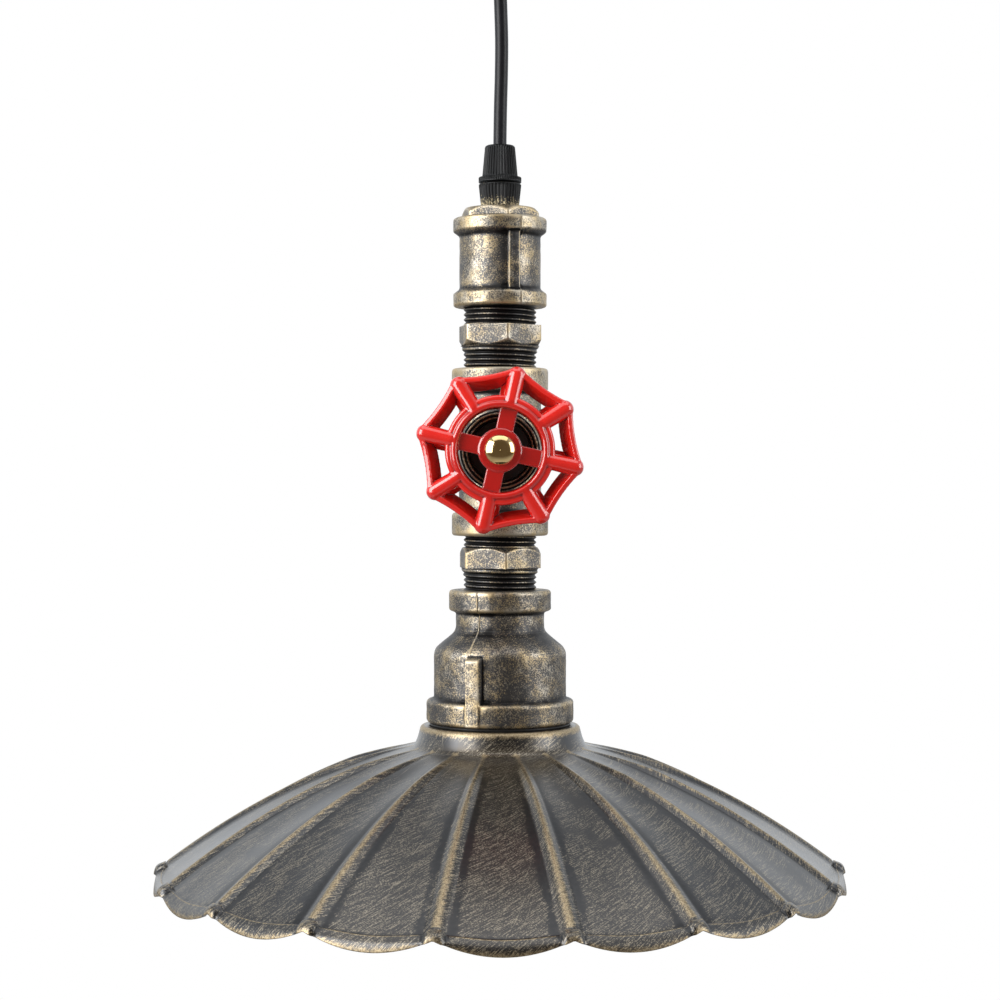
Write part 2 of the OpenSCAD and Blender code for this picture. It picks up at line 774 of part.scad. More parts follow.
module holder_nipple() {
    color(steel) difference() {
        bar(stud_r, z_holder - holder_bore_depth, z_red_web + nut_t + 2);
        bar(stud_r - 1.5, z_holder - holder_bore_depth - cut, z_red_web + nut_t + 3);
    }
}

module holder_locknut() {
    color(steel) locknut(z_red_web, stud_r + slip);
}

shoulder_drop = 12;
insert_z = z_holder_foot + shell_l;
insert_t = 8;

module lampholder() {
    r = holder_d / 2;
    inner_r = shell_bore / 2 + shell_wall;
    color(black) difference() {
        turned([[0, z_holder, 0], [holder_cap_r, z_holder, 0], [r, z_holder - shoulder_drop, 1.5],
                [r, z_holder_foot, 0.8], [0, z_holder_foot, 0]]);
        bar(stud_r + slip, z_holder - holder_bore_depth - cut, z_holder + cut);
        bar(inner_r + slip, z_holder_foot - cut, insert_z + insert_t);
        bar(lead_gap + lead_r + 0.4, insert_z, z_holder);
    }
}

module contact_base() {
    color(white) difference() {
        bar(shell_bore / 2 + shell_wall, insert_z, insert_z + insert_t);
        for (side = [-1, 1]) translate([side * lead_gap, 0, 0])
            bar(lead_r + 0.3, insert_z - cut, insert_z + insert_t + cut);
    }
}

module screw_shell() {
    color(brass) difference() {
        bar(shell_bore / 2 + shell_wall, z_holder_foot + shell_inset, insert_z - contact_room);
        bar(shell_bore / 2, z_holder_foot - cut, insert_z + cut);
    }
}

module centre_contact() {
    leaf = [14, 5, 0.5];
    color(brass) translate([0, 0, insert_z]) difference() {
        union() {
            translate([-leaf[0] / 2, 4 - leaf[1] / 2, -leaf[2]]) cube(leaf);
            translate([0, 4, -leaf[2] - 2]) cylinder(r1 = 1.2, r2 = 2.4, h = 2);
        }
        for (side = [-1, 1]) translate([side * lead_gap, 0, -3]) cylinder(r = lead_r + 0.3, h = 4);
    }
}

// Rings that clamp the shade's collar

module upper_shade_ring() {
    color(black) difference() {
        turned([[0, z_collar, 0], [upper_ring_d / 2, z_collar, 0.4], [upper_ring_d / 2, z_red_foot, 0.4],
                [0, z_red_foot, 0]]);
        bar(holder_d / 2 + slip, z_collar - cut, z_red_foot + cut);
    }
}

module lower_shade_ring() {
    top = z_collar - shade_t;
    color(black) difference() {
        turned([[0, top - lower_ring_h, 0], [lower_ring_d / 2 - 2, top - lower_ring_h, 1],
                [lower_ring_d / 2, top - 2.4, 0.5], [lower_ring_d / 2, top, 0], [0, top, 0]]);
        bar(holder_d / 2 + slip, top - lower_ring_h - cut, top + cut);
    }
}

// Pressed sheet shade: a ridge on every panel joint, a sagging panel between, a scalloped lip

pitch = 360 / panels;
shade_hole_r = holder_d / 2 + 0.3;
crease_r = rim_r - 3;
panel_rows = 7;
panel_span = crease_r - collar_foot_r;

function fall(x) = shade_slope * x + (shade_fall - shade_slope * panel_span) * pow(x / panel_span, 2);
function ridge_half(r) =
    ridge_half_top + (ridge_half_rim - ridge_half_top) * (r - collar_foot_r) / panel_span;
// Angles of one panel's points as shares of the pitch, with the ridge in the middle
function shares(r) =
    let(e = min(0.24, ridge_half(r) / (r * pitch * PI / 180)))
    [-0.5, -0.36, -e, -e * 0.55, 0, e * 0.55, e, 0.36];
function bump(s, e) = abs(s) >= e ? 0 : ridge_h * (1 + cos(180 * s / e)) / 2;
function sag(s) = panel_sag * (1 - cos(360 * s)) / 2;
function lip(s) = lip_ridge + (lip_panel - lip_ridge) * (1 - pow(1 - 2 * abs(s), 2));

// One ring of points: base radius and height, with the panel's relief scaled by amount
function relief_ring(r, z, amount) =
    let(s_list = shares(max(r, collar_foot_r)), e = s_list[6])
    [for (k = [0 : panels - 1]) for (s = s_list)
        let(a = (k + s) * pitch + shade_turn + front, rise = amount * (bump(s, e) - sag(s)))
        [r * cos(a), r * sin(a), z + rise]];
function lip_ring(r) =
    let(s_list = shares(rim_r), e = s_list[6])
    [for (k = [0 : panels - 1]) for (s = s_list)
        let(a = (k + s) * pitch + shade_turn + front, out = r + bump(s, e) * 0.6)
        [out * cos(a), out * sin(a), z_panel - shade_fall - lip(s)]];
function panel_ring(k, drop) =
    let(x = panel_span * k / panel_rows)
    relief_ring(collar_foot_r + x, z_panel - fall(x) - drop, min(1, k / 2));

module shade() {
    collar_mid_r = (collar_top_r + collar_foot_r) / 2 + 0.3;
    t = shade_t;
    rings = concat(
        [relief_ring(shade_hole_r, z_collar, 0), relief_ring(collar_top_r - 0.8, z_collar, 0),
         relief_ring(collar_top_r, z_collar - 0.8, 0), relief_ring(collar_mid_r, z_panel + 1.4, 0)],
        [for (k = [0 : panel_rows]) panel_ring(k, 0)],
        [lip_ring(rim_r), lip_ring(rim_r - t)],
        [for (k = [panel_rows : -1 : 0]) panel_ring(k, t)],
        [relief_ring(collar_mid_r - t, z_panel + 1.4 - t, 0),
         relief_ring(collar_top_r - t, z_collar - t - 0.8, 0),
         relief_ring(collar_top_r - t - 0.8, z_collar - t, 0), relief_ring(shade_hole_r, z_collar - t, 0)]);
    rows = len(rings);
    n = len(rings[0]);
    color(dark_bronze) polyhedron(
        [for (ring = rings) each ring],
        [for (i = [0 : rows - 1]) for (j = [0 : n - 1])
            let(a = i * n + j, b = i * n + (j + 1) % n, i2 = (i + 1) % rows)
            let(c = i2 * n + (j + 1) % n, d = i2 * n + j)
            each [[a, b, c], [a, c, d]]]);
}

// Leads from the cord's end down to the holder

lead_sides = 8;
lead_room = 1.5;
lead_y = pipe_bore / 2 - lead_r - lead_room;
lead_turn_l = 6;

// A lead swings to the back of the pipe to pass the switch, then to the middle for the holder's nipple
module lead(x) {
    close = x * 0.6;
    inside = z_holder - holder_bore_depth;
    swept([[close, 0, cord_foot - 0.4], [close, 0, cord_foot - lead_turn_l],
           [x, lead_y * 0.7, z_upper_nipple], [x, lead_y, z_tee], [x, lead_y, z_branch],
           [x, lead_y, z_lower_nipple], [x, lead_y * 0.6, z_reducer], [close, 0, z_red_web + lead_turn_l],
           [close, 0, z_red_web], [close, 0, inside], [x, 0, insert_z + insert_t], [x, 0, insert_z + 1]],
          lead_r, lead_sides);
}

module live_lead() {
    color([0.45, 0.25, 0.12]) lead(-lead_gap);
}

module neutral_lead() {
    color([0.15, 0.3, 0.65]) lead(lead_gap);
}

mounting_strap();
ceiling_rose();
rose_screws();
terminal_block();
rose_grip_base();
rose_grip_cap();
rose_locknut();
cord_tail();
pendant_cord();
cord_grip_cap();
grip_collet();
cord_grip_base();
grip_locknut();
top_plug();
coupling();
upper_nipple();
tee();
gland_bush();
switch_body();
lower_nipple();
reducer();
holder_nipple();
holder_locknut();
lampholder();
contact_base();
screw_shell();
centre_contact();
upper_shade_ring();
shade();
lower_shade_ring();
live_lead();
neutral_lead();
stem();
switch_rotor();
handwheel();
wheel_washer();
cap_nut();
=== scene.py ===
# %% [markdown]
# # A pendant lamp made of pipe fittings
# The lamp is a run of threaded fittings that hangs from a cord: a ribbed cord grip, a plug, a coupling, a tee
# with a red valve wheel, a reducer and a pressed umbrella shade. The construction is already fixed, so this
# lesson only dresses it. We load the fixed model first.

# %% The fixed model
import json
import math

import bpy
import numpy as np
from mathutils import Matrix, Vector, noise


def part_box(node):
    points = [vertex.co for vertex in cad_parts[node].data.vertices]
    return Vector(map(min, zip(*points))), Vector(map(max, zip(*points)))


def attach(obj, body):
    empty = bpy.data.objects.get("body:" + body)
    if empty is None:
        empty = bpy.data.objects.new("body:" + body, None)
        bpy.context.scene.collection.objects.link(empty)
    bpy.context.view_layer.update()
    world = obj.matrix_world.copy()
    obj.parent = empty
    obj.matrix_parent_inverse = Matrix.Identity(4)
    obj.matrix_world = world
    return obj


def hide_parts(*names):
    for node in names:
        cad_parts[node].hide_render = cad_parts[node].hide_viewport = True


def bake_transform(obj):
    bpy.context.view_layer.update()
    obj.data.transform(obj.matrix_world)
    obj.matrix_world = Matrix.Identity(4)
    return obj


MM = 0.001
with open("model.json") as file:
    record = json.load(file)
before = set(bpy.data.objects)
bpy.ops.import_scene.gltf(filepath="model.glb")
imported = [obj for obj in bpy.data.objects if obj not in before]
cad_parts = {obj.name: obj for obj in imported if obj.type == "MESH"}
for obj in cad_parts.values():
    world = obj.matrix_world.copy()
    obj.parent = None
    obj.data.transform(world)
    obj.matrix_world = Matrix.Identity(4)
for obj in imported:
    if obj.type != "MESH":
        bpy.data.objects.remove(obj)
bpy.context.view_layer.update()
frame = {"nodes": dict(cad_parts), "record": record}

# %% [markdown]
# ## Camera
# The picture was taken level with the middle of the pipe, from about 0.8 m away. Such a view keeps upright
# edges upright, so the camera looks straight along +Y, and a small shift lowers the frame instead of a tilt.

# %% Camera
CAMERA_BACK = 0.780
CAMERA_HEIGHT = -0.2209
SENSOR_WIDTH, LENS, FRAME_SHIFT = 36, 77.5, -0.015


def placed(name, data):
    """A new object in the scene."""
    thing = bpy.data.objects.new(name, data)
    bpy.context.collection.objects.link(thing)
    return thing


camera = placed("camera", bpy.data.cameras.new("camera"))
camera.location = (0, -CAMERA_BACK, CAMERA_HEIGHT)
camera.rotation_euler = (math.radians(90), 0, 0)
camera.data.sensor_width = SENSOR_WIDTH
camera.data.lens = LENS
camera.data.shift_y = FRAME_SHIFT
bpy.context.scene.camera = camera
print("camera", tuple(camera.location))

# %% [markdown]
# ## Shader maths as expressions
# A finish is easier to read as a formula than as a web of nodes. `Signal` wraps one output socket, and adding
# or multiplying signals adds Math nodes. `Network` makes every other node by one method, and `Finish` is the
# network of one material.


# %% Signals, networks and finishes
class Signal:
    """One output socket of a network, used in formulas."""

    def __init__(self, network, socket):
        self.network = network
        self.socket = socket

    def maths(self, operation, first, second):
        return self.network.node("Math", {"operation": operation}, {0: first, 1: second})

    def __add__(self, other):
        return self.maths("ADD", self, other)

    def __radd__(self, other):
        return self.maths("ADD", other, self)

    def __sub__(self, other):
        return self.maths("SUBTRACT", self, other)

    def __rsub__(self, other):
        return self.maths("SUBTRACT", other, self)

    def __mul__(self, other):
        return self.maths("MULTIPLY", self, other)

    def __rmul__(self, other):
        return self.maths("MULTIPLY", other, self)

    def step(self, low, high):
        """0 below low, 1 above high, and a smooth rise between."""
        sockets = {"Value": self, "From Min": low, "From Max": high}
        return self.network.node("MapRange", {"interpolation_type": "SMOOTHSTEP"}, sockets)


class Network:
    """A tree of shader nodes that grows as its formulas are written."""

    def __init__(self, tree):
        self.tree = tree

    def plug(self, socket, value):
        if isinstance(value, Signal):
            self.tree.links.new(value.socket, socket)
        else:
            socket.default_value = value

    def node(self, kind, settings=None, sockets=None, out=0):
        made = self.tree.nodes.new("ShaderNode" + kind)
        for name, value in (settings or {}).items():
            setattr(made, name, value)
        for name, value in (sockets or {}).items():
            self.plug(made.inputs[name], value)
        return Signal(self, made.outputs[out])

    def place(self):
        return self.node("TexCoord", out="Object")

    def mark(self, name):
        return self.node("Attribute", {"attribute_name": name}, out="Fac")

    def grain(self, size, detail=2.0, roughness=0.5, where=None):
        """Noise whose features are about size metres wide."""
        sockets = {"Scale": 1 / size, "Detail": detail, "Roughness": roughness}
        return self.node("TexNoise", None, {"Vector": where or self.place(), **sockets})

    def stretched(self, scale, where=None, turn=(0, 0, 0)):
        sockets = {"Vector": where or self.place(), "Rotation": turn, "Scale": scale}
        return self.node("Mapping", None, sockets)

    def mix(self, share, first, second):
        """Two colours in a share. A Mix node has its colours at inputs 6 and 7 and their mix at output 2."""
        return self.node("Mix", {"data_type": "RGBA"}, {0: share, 6: first, 7: second}, out=2)

    def bump(self, height, depth, strength):
        return self.node("Bump", None, {"Height": height, "Distance": depth, "Strength": strength})


class Finish(Network):
    """A procedural material that ends in one Principled shader."""

    def __init__(self, name):
        self.material = bpy.data.materials.new(name)
        self.material.use_nodes = True
        super().__init__(self.material.node_tree)
        self.shader = self.tree.nodes["Principled BSDF"]

    def set(self, **sockets):
        """Plug values into the shader, and give the finished material."""
        for name, value in sockets.items():
            self.plug(self.shader.inputs[name.replace("_", " ")], value)
        return self.material


# %% [markdown]
# ## Marking edges
# Worn metal is bright on its edges and dark in its corners. Each mesh we make gets a number per point that
# says how far it stands out from its neighbours: above 0 on an edge, below 0 in a corner. Finishes use it.

# %% Edge marks
OWN_SHARE = 0.4


def per_point(piece, name):
    """Three numbers for each point of a piece: its place ("co") or its normal."""
    values = np.empty(len(piece.data.vertices) * 3)
    piece.data.vertices.foreach_get(name, values)
    return values.reshape(-1, 3)


def mark_edges(piece, reach=0.0012, spread=3):
    """Store the bend of the surface at each point, times reach, from -1 in a corner to 1 on an edge."""
    mesh = piece.data
    count = len(mesh.vertices)
    points = per_point(piece, "co")
    normals = per_point(piece, "normal")
    ends = np.empty(len(mesh.edges) * 2, dtype=np.int32)
    mesh.edges.foreach_get("vertices", ends)
    first, second = ends.reshape(-1, 2).T
    neighbours = np.bincount(first, minlength=count) + np.bincount(second, minlength=count)
    neighbours = np.maximum(neighbours, 1)

    def around(values):
        total = np.bincount(first, values[second], count) + np.bincount(second, values[first], count)
        return total / neighbours

    middle = np.stack([around(points[:, axis]) for axis in range(3)], axis=1)
    gaps = ((points[first] - points[second]) ** 2).sum(axis=1)
    gap = (np.bincount(first, gaps, count) + np.bincount(second, gaps, count)) / neighbours
    bend = 2 * ((points - middle) * normals).sum(axis=1) / np.maximum(gap, 1e-12)
    for _ in range(spread):
        bend = OWN_SHARE * bend + (1 - OWN_SHARE) * around(bend)
    store_mark(piece, "edge", np.clip(bend * reach, -1, 1))


def store_mark(piece, name, values):
    attribute = piece.data.attributes.new(name, "FLOAT", "POINT")
    attribute.data.foreach_set("value", np.asarray(values, dtype=np.float32).ravel())


def add_to_edges(piece, extra):
    """Brighten or darken the edge marks of a piece by one number per point; on the fittings this adds
    bright brass, painted shade and painted highlight.
    """
    marks = piece.data.attributes["edge"].data
    values = np.empty(len(marks), dtype=np.float32)
    marks.foreach_get("value", values)
    marks.foreach_set("value", np.clip(values + np.ravel(extra), -1, 1).astype(np.float32))


# %% [markdown]
# ## Finishes
# The fittings are dark castings whose high spots were rubbed back to brass, so they look like dense brass
# specks on gunmetal. The shade has the same two paints, but brushed on in strokes. The wheel is red enamel.
# Pictures of metal could be wrapped round them, but noise in space needs no unwrapping and shows no seams.

# %% Antique bronze castings
WARM_BRASS, PALE_BRASS = (0.555, 0.435, 0.255, 1), (0.515, 0.465, 0.38, 1)
SOOT_AND_SHADE, GUNMETAL = (0.014, 0.0135, 0.0135, 1), (0.090, 0.089, 0.090, 1)


def antique_bronze(name, wear_and_shading):
    """Dark casting with brass specks. The second argument says how much of the surface shows bright brass;
    a low value gives a copy darkened as painted shade.
    """
    finish = Finish(name)
    edge = finish.mark("edge")
    coarse = finish.grain(0.56 * MM, 2, 0.6)
    fine = finish.grain(0.30 * MM)
    cloud = finish.grain(8 * MM)
    # The edge mark holds the bend of the surface and, on the fittings, painted shade and painted highlight
    # too. Below 0 the ground darkens towards soot, so soot here is grime and painted shade at once.
    proud = coarse * 0.47 + fine * 0.53 + (cloud - 0.5) * 0.35 + edge * 0.30
    bright = (proud + (wear_and_shading - 0.5)).step(0.44, 0.62)
    tint = finish.grain(5 * MM).step(0.35, 0.7)
    brass = finish.mix(tint, WARM_BRASS, PALE_BRASS)
    dark = finish.mix(edge.step(-0.5, 0.0), SOOT_AND_SHADE, GUNMETAL)
    return finish.set(
        Base_Color=finish.mix(bright, dark, brass),
        Metallic=0.95,
        Roughness=0.43 - bright * 0.03 + fine * 0.06,
        Normal=finish.bump(coarse * 0.6 + fine * 0.4, 0.08 * MM, 0.8),
    )


CASTING = antique_bronze("antique_bronze", 0.47)
BRIGHT_CASTING = antique_bronze("antique_bronze_bright", 0.475)
# A copy with less bright brass, darkened as painted shade for the gland bush in the wheel's shadow.
SHADED_CASTING = antique_bronze("antique_bronze_dark", 0.30)
print("castings", CASTING.name, BRIGHT_CASTING.name, SHADED_CASTING.name)


# %% Spun rose
SPIN_LINES = 2600
SPUN_DARK, SPUN_PALE = (0.060, 0.053, 0.044, 1), (0.22, 0.185, 0.125, 1)


def spun_bronze():
    """Dark bronze paint over turning lines, for the ceiling rose."""
    finish = Finish("rose_bronze")
    axes = finish.node("Mapping", None, {"Vector": finish.place(), "Scale": (1, 1, 0)})
    reach = finish.node("VectorMath", {"operation": "LENGTH"}, {0: axes}, out="Value")
    sockets = {"W": reach, "Scale": SPIN_LINES, "Detail": 2.0}
    lines = finish.node("TexNoise", {"noise_dimensions": "1D"}, sockets)
    cloud = finish.grain(18 * MM)
    return finish.set(
        Base_Color=finish.mix(lines.step(0.40, 0.75), SPUN_DARK, SPUN_PALE),
        Metallic=0.9,
        Roughness=0.34 + lines * 0.10 + cloud * 0.06,
        Normal=finish.bump(lines, 0.03 * MM, 0.5),
    )


# %% Shade finish
CROSS_TURN = math.radians(38)
HAIR, THICK, SCRATCH = (210, 3400, 1), (90, 1700, 1), (55, 2300, 1)
COOL_PAINT, PAINTED_WARM_REFLECTION = (0.030, 0.032, 0.036, 1), (0.046, 0.035, 0.022, 1)
PAINTED_VALLEY_SHADE, STROKE_GOLD = (0.010, 0.0105, 0.012, 1), (0.30, 0.26, 0.195, 1)
RUBBED_DARK, RUBBED_BRIGHT = (0.24, 0.18, 0.105, 1), (0.47, 0.385, 0.25, 1)


def shade_paint():
    """Black paint under slanted strokes of gold and a few scratches across them, bare gold on the ridges and
    the rim, painted shade in the valleys and crease, and a painted highlight along the crease."""
    finish = Finish("shade_bronze")
    wear = finish.mark("wear")
    stroke_share = finish.mark("stroked")
    brush = finish.node("Attribute", {"attribute_name": "brush"}, out="Vector")
    hair = finish.grain(1.0, 3, 0.6, finish.stretched(HAIR, brush))
    thick = finish.grain(1.0, where=finish.stretched(THICK, brush))
    cloud = finish.grain(14 * MM)
    mottle = finish.grain(1.7 * MM, 3, 0.6)
    speck = finish.grain(0.5 * MM, 2, 0.6)
    # Painted shade in the valleys beside the ridges, where the strokes fade too
    valley_shade = ((mottle - 0.5) * 0.6 - wear).step(0.05, 0.65)
    patch = (stroke_share * 0.5 + cloud * 2.2 - 0.66 - valley_shade * 0.85).step(0.22, 0.78)
    crossed = finish.stretched((1, 1, 1), brush, (0, 0, CROSS_TURN))
    scratch = finish.grain(1.0, where=finish.stretched(SCRATCH, crossed))
    scratches = scratch.step(0.645, 0.72) * finish.grain(22 * MM, 1, 0.5).step(0.48, 0.62) * 0.8
    brushed = (hair * 0.48 + thick * 0.14 + speck * 0.38).step(0.475, 0.615) * patch
    strokes = (brushed + scratches * (1 - valley_shade)).step(0.0, 1.0)
    # Gold where ridges and rim are worn, and along the crease as a painted highlight
    rubbed_and_highlit = (wear * 0.55 + mottle * 0.40 + speck * 0.20 + hair * 0.80 - 0.91).step(0.02, 0.40)
    # Panels that face the viewer get a painted warm reflection of the room over the cool paint
    paint_and_reflection = finish.mix(finish.mark("warm"), COOL_PAINT, PAINTED_WARM_REFLECTION)
    ground = finish.mix(valley_shade, paint_and_reflection, PAINTED_VALLEY_SHADE)
    stroked = finish.mix(strokes * 0.85, ground, STROKE_GOLD)
    gold = finish.mix(speck.step(0.35, 0.65), RUBBED_DARK, RUBBED_BRIGHT)
    return finish.set(
        Base_Color=finish.mix(rubbed_and_highlit, stroked, gold),
        Metallic=0.90,
        Roughness=0.32 + strokes * 0.10 + rubbed_and_highlit * 0.04 + speck * 0.05,
        Coat_Weight=(1 - rubbed_and_highlit) * 0.75,
        Coat_Roughness=0.27,
        Normal=finish.bump(hair * 0.6 + speck * 0.4, 0.05 * MM, 0.6),
    )


# %% Enamel
DEEP_RED, BRIGHT_RED = (0.60, 0.011, 0.0065, 1), (0.69, 0.015, 0.009, 1)
SHADED_RECESS_RED, POOLED_RED = (0.39, 0.005, 0.0035, 1), (0.20, 0.004, 0.006, 1)


def red_enamel():
    """Thick gloss enamel, deeper in the corners where it pooled, with painted shade in its recesses."""
    finish = Finish("red_enamel")
    edge = finish.mark("edge")
    flow = finish.grain(3.5 * MM)
    pooled = (0.0 - edge).step(0.05, 0.7)
    colour = finish.mix(flow, DEEP_RED, BRIGHT_RED)
    # Darker red painted as shade on the recessed hub, spokes and ring
    recess_shaded = finish.mix(finish.mark("recess"), colour, SHADED_RECESS_RED)
    return finish.set(
        Base_Color=finish.mix(pooled, recess_shaded, POOLED_RED),
        Roughness=0.20 + flow * 0.06,
        Coat_Weight=1.0,
        Coat_Roughness=0.03,
        Coat_IOR=1.55,
        Normal=finish.bump(flow, 0.06 * MM, 0.4),
    )


# %% Metals and mouldings
FINE_LINES = (220, 220, 4000)


def metal(name, colour, dull, roughness, scratch):
    """Plain metal with a cloudy tarnish and fine scratches."""
    finish = Finish(name)
    cloud = finish.grain(4 * MM, 3, 0.6)
    lines = finish.grain(1.0, where=finish.stretched(FINE_LINES))
    return finish.set(
        Base_Color=finish.mix(cloud.step(0.35, 0.75), colour, dull),
        Metallic=1.0,
        Roughness=roughness + cloud * 0.08 + lines * scratch,
        Normal=finish.bump(lines, 0.02 * MM, 0.4),
    )


def moulded(name, colour, pale, roughness, sheen):
    """Moulded plastic, ceramic or rubber with a fine grain and slightly paler clouds."""
    finish = Finish(name)
    cloud = finish.grain(6 * MM)
    grain = finish.grain(0.5 * MM)
    return finish.set(
        Base_Color=finish.mix(cloud, colour, pale),
        Roughness=roughness + grain * 0.12,
        Specular_IOR_Level=sheen,
        Normal=finish.bump(grain, 0.04 * MM, 0.5),
    )


# %% The finish of each slot
FINISHES = {
    "zinc_steel": metal("zinc_steel", (0.55, 0.55, 0.56, 1), (0.44, 0.44, 0.44, 1), 0.36, 0.1),
    "rose_bronze": spun_bronze(),
    "antique_bronze": CASTING,
    "shade_bronze": shade_paint(),
    "red_enamel": red_enamel(),
    "polished_brass": metal("polished_brass", (0.83, 0.62, 0.30, 1), (0.74, 0.53, 0.24, 1), 0.04, 0.02),
    "brass": metal("brass", (0.78, 0.58, 0.28, 1), (0.62, 0.44, 0.20, 1), 0.26, 0.1),
}
MOULDED = {
    "black_plastic": ((0.005, 0.0055, 0.006, 1), (0.008, 0.009, 0.010, 1), 0.34, 0.22),
    "black_phenolic": ((0.010, 0.010, 0.010, 1), (0.018, 0.017, 0.016, 1), 0.36, 0.2),
    "white_nylon": ((0.78, 0.77, 0.72, 1), (0.84, 0.83, 0.80, 1), 0.45, 0.5),
    "ceramic": ((0.80, 0.79, 0.75, 1), (0.86, 0.85, 0.82, 1), 0.18, 0.5),
    "black_cord": ((0.006, 0.006, 0.008, 1), (0.010, 0.010, 0.013, 1), 0.32, 0.3),
    "brown_lead": ((0.16, 0.06, 0.022, 1), (0.20, 0.08, 0.03, 1), 0.4, 0.5),
    "blue_lead": ((0.02, 0.07, 0.28, 1), (0.03, 0.10, 0.34, 1), 0.4, 0.5),
}
for name, look in MOULDED.items():
    FINISHES[name] = moulded(name, *look)
SLOT = {row["node"]: row["material_slot"] for row in frame["record"]["subparts"]}
for node, thing in frame["nodes"].items():
    thing.data.materials.clear()
    thing.data.materials.append(FINISHES[SLOT[node]])
print(len(FINISHES), "finishes on", len(SLOT), "nodes")

# %% [markdown]
# ## Building skins
# Most pieces are turned, so their points form a grid: rows down the profile, columns round the axis. One
# helper joins any such grid into quads. A piece then rides on its body and stands for the plain solid there.

# %% Grids of points
BODY_OF = {node: body for body, nodes in frame["record"]["behaviour"]["bodies"].items() for node in nodes}


def grid_faces(rows, columns, closed_rows):
    """Quads between neighbouring rows of a grid that closes round its columns."""
    index = np.arange(rows * columns).reshape(rows, columns)
    top = index if closed_rows else index[:-1]
    low = np.roll(index, -1, axis=0) if closed_rows else index[1:]
    quads = [top, low, np.roll(low, -1, axis=1), np.roll(top, -1, axis=1)]
    return np.stack(quads, axis=-1).reshape(-1, 4)


def add_piece(name, points, faces, finish):
    mesh = bpy.data.meshes.new(name)
    mesh.from_pydata(points.tolist(), [], faces.tolist())
    mesh.validate()
    mesh.shade_smooth()
    mesh.materials.append(finish)
    return placed(name, mesh)


def dress(piece, node):
    """The piece stands for its node on the node's body, and the node is hidden."""
    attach(piece, BODY_OF[node])
    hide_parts(node)
    print(piece.name, len(piece.data.polygons), "faces")


def skin(name, grid, finish, closed_rows=True):
    """A piece from a grid of points, with its faces turned outwards."""
    rows, columns = grid.shape[:2]
    points = grid.reshape(-1, 3)
    faces = grid_faces(rows, columns, closed_rows)
    a, b, c, d = (points[faces[:, k]] for k in range(4))
    volume = np.einsum("ij,ij->", a, np.cross(b, c)) + np.einsum("ij,ij->", a, np.cross(c, d))
    return add_piece(name, points, faces if volume > 0 else faces[:, ::-1], finish)


# %% Profiles
def rounded(corners, steps=4):
    """A profile in millimetres from (radius, height, rounding) corners, each turned into an arc."""
    points = []
    last = len(corners)
    for i, (x, y, radius) in enumerate(corners):
        here = np.array([x, y], dtype=float)
        before = np.array(corners[i - 1][:2], dtype=float)
        after = np.array(corners[(i + 1) % last][:2], dtype=float)
        if radius == 0:
            points.append(here)
            continue
        back = (before - here) / np.linalg.norm(before - here)
        ahead = (after - here) / np.linalg.norm(after - here)
        half = math.acos(np.clip(back @ ahead, -1, 1)) / 2
        reach = radius / math.tan(half)
        centre = here + (back + ahead) / np.linalg.norm(back + ahead) * radius / math.sin(half)
        start = here + back * reach - centre
        end = here + ahead * reach - centre
        for k in range(steps + 1):
            arm = start * (1 - k / steps) + end * (k / steps)
            points.append(centre + arm / np.linalg.norm(arm) * radius)
    return np.array(points)


def refined(points, longest):
    """The same closed profile with no stretch longer than longest."""
    out = []
    for i in range(len(points)):
        here, after = points[i], points[(i + 1) % len(points)]
        pieces = max(1, math.ceil(np.linalg.norm(after - here) / longest))
        out += [here + (after - here) * k / pieces for k in range(pieces)]
    return np.array(out)


def lathe(profile, angles, relief=None):
    """A closed profile (mm) turned round Z. relief(angle, radius, height) adds to the radius."""
    turn, radius = np.meshgrid(angles, profile[:, 0])
    height = np.repeat(profile[:, 1:2], len(angles), axis=1)
    if relief is not None:
        radius = radius + relief(turn, radius, height)
    return np.stack([radius * np.cos(turn), radius * np.sin(turn), height], axis=-1) * MM


def even_angles(count):
    return np.arange(count) * 2 * math.pi / count


def within(value, low, high, ease):
    """1 between low and high, falling to 0 over ease towards each of them."""
    return np.clip((value - low) / ease, 0, 1) * np.clip((high - value) / ease, 0, 1)


def turned(name, node, profile, longest, angles, relief=None, finish=None):
    """A turned piece for a node, whose profile is split so that no stretch is longer than longest."""
    grid = lathe(refined(profile, longest), angles, relief)
    piece = skin(name, grid, finish or FINISHES[SLOT[node]])
    dress(piece, node)
    return piece


def span(node):
    """Lowest and highest height of a node, in millimetres."""
    low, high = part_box(node)
    return low[2] / MM, high[2] / MM


# %% [markdown]
# ## Cord
# One smooth cord runs from the terminal block in the rose, through both grips, to the coupling. It hangs
# taut, with the slight waver of a cord that was once coiled. The lamp swings at the mouth of the rose's grip.

# %% Cord
CORD_D = 4.8 * MM
CORD_POINTS = [
    (1.5, 2, -12), (0.6, 0.8, -16), (0, 0, -19), (0, 0, -27), (0, 0, -35.2), (0, 0, -40), (0.3, 0, -48.7),
    (0.6, 0, -60.3), (0.5, 0, -71.9), (0.2, 0, -83.5), (0, 0, -95.1), (0, 0, -100), (0, 0, -111.5),
    (0, 0, -120.9), (0, 0, -134.5),
]
CORD_SIDES = 24
CORD_STEP = 0.8 * MM


def smooth_route(points, step):
    """Points every step along a smooth curve through the given points."""
    points = np.array(points) * MM
    ends = np.vstack([2 * points[0] - points[1], points, 2 * points[-1] - points[-2]])
    out = []
    for a, b, c, d in zip(ends, ends[1:], ends[2:], ends[3:]):
        pieces = max(2, round(float(np.linalg.norm(c - b)) / step))
        for k in range(pieces):
            t = k / pieces
            out.append(0.5 * (2 * b + (c - a) * t + (2 * a - 5 * b + 4 * c - d) * t**2
                              + (3 * b - a - 3 * c + d) * t**3))
    return np.array(out + [points[-1]])


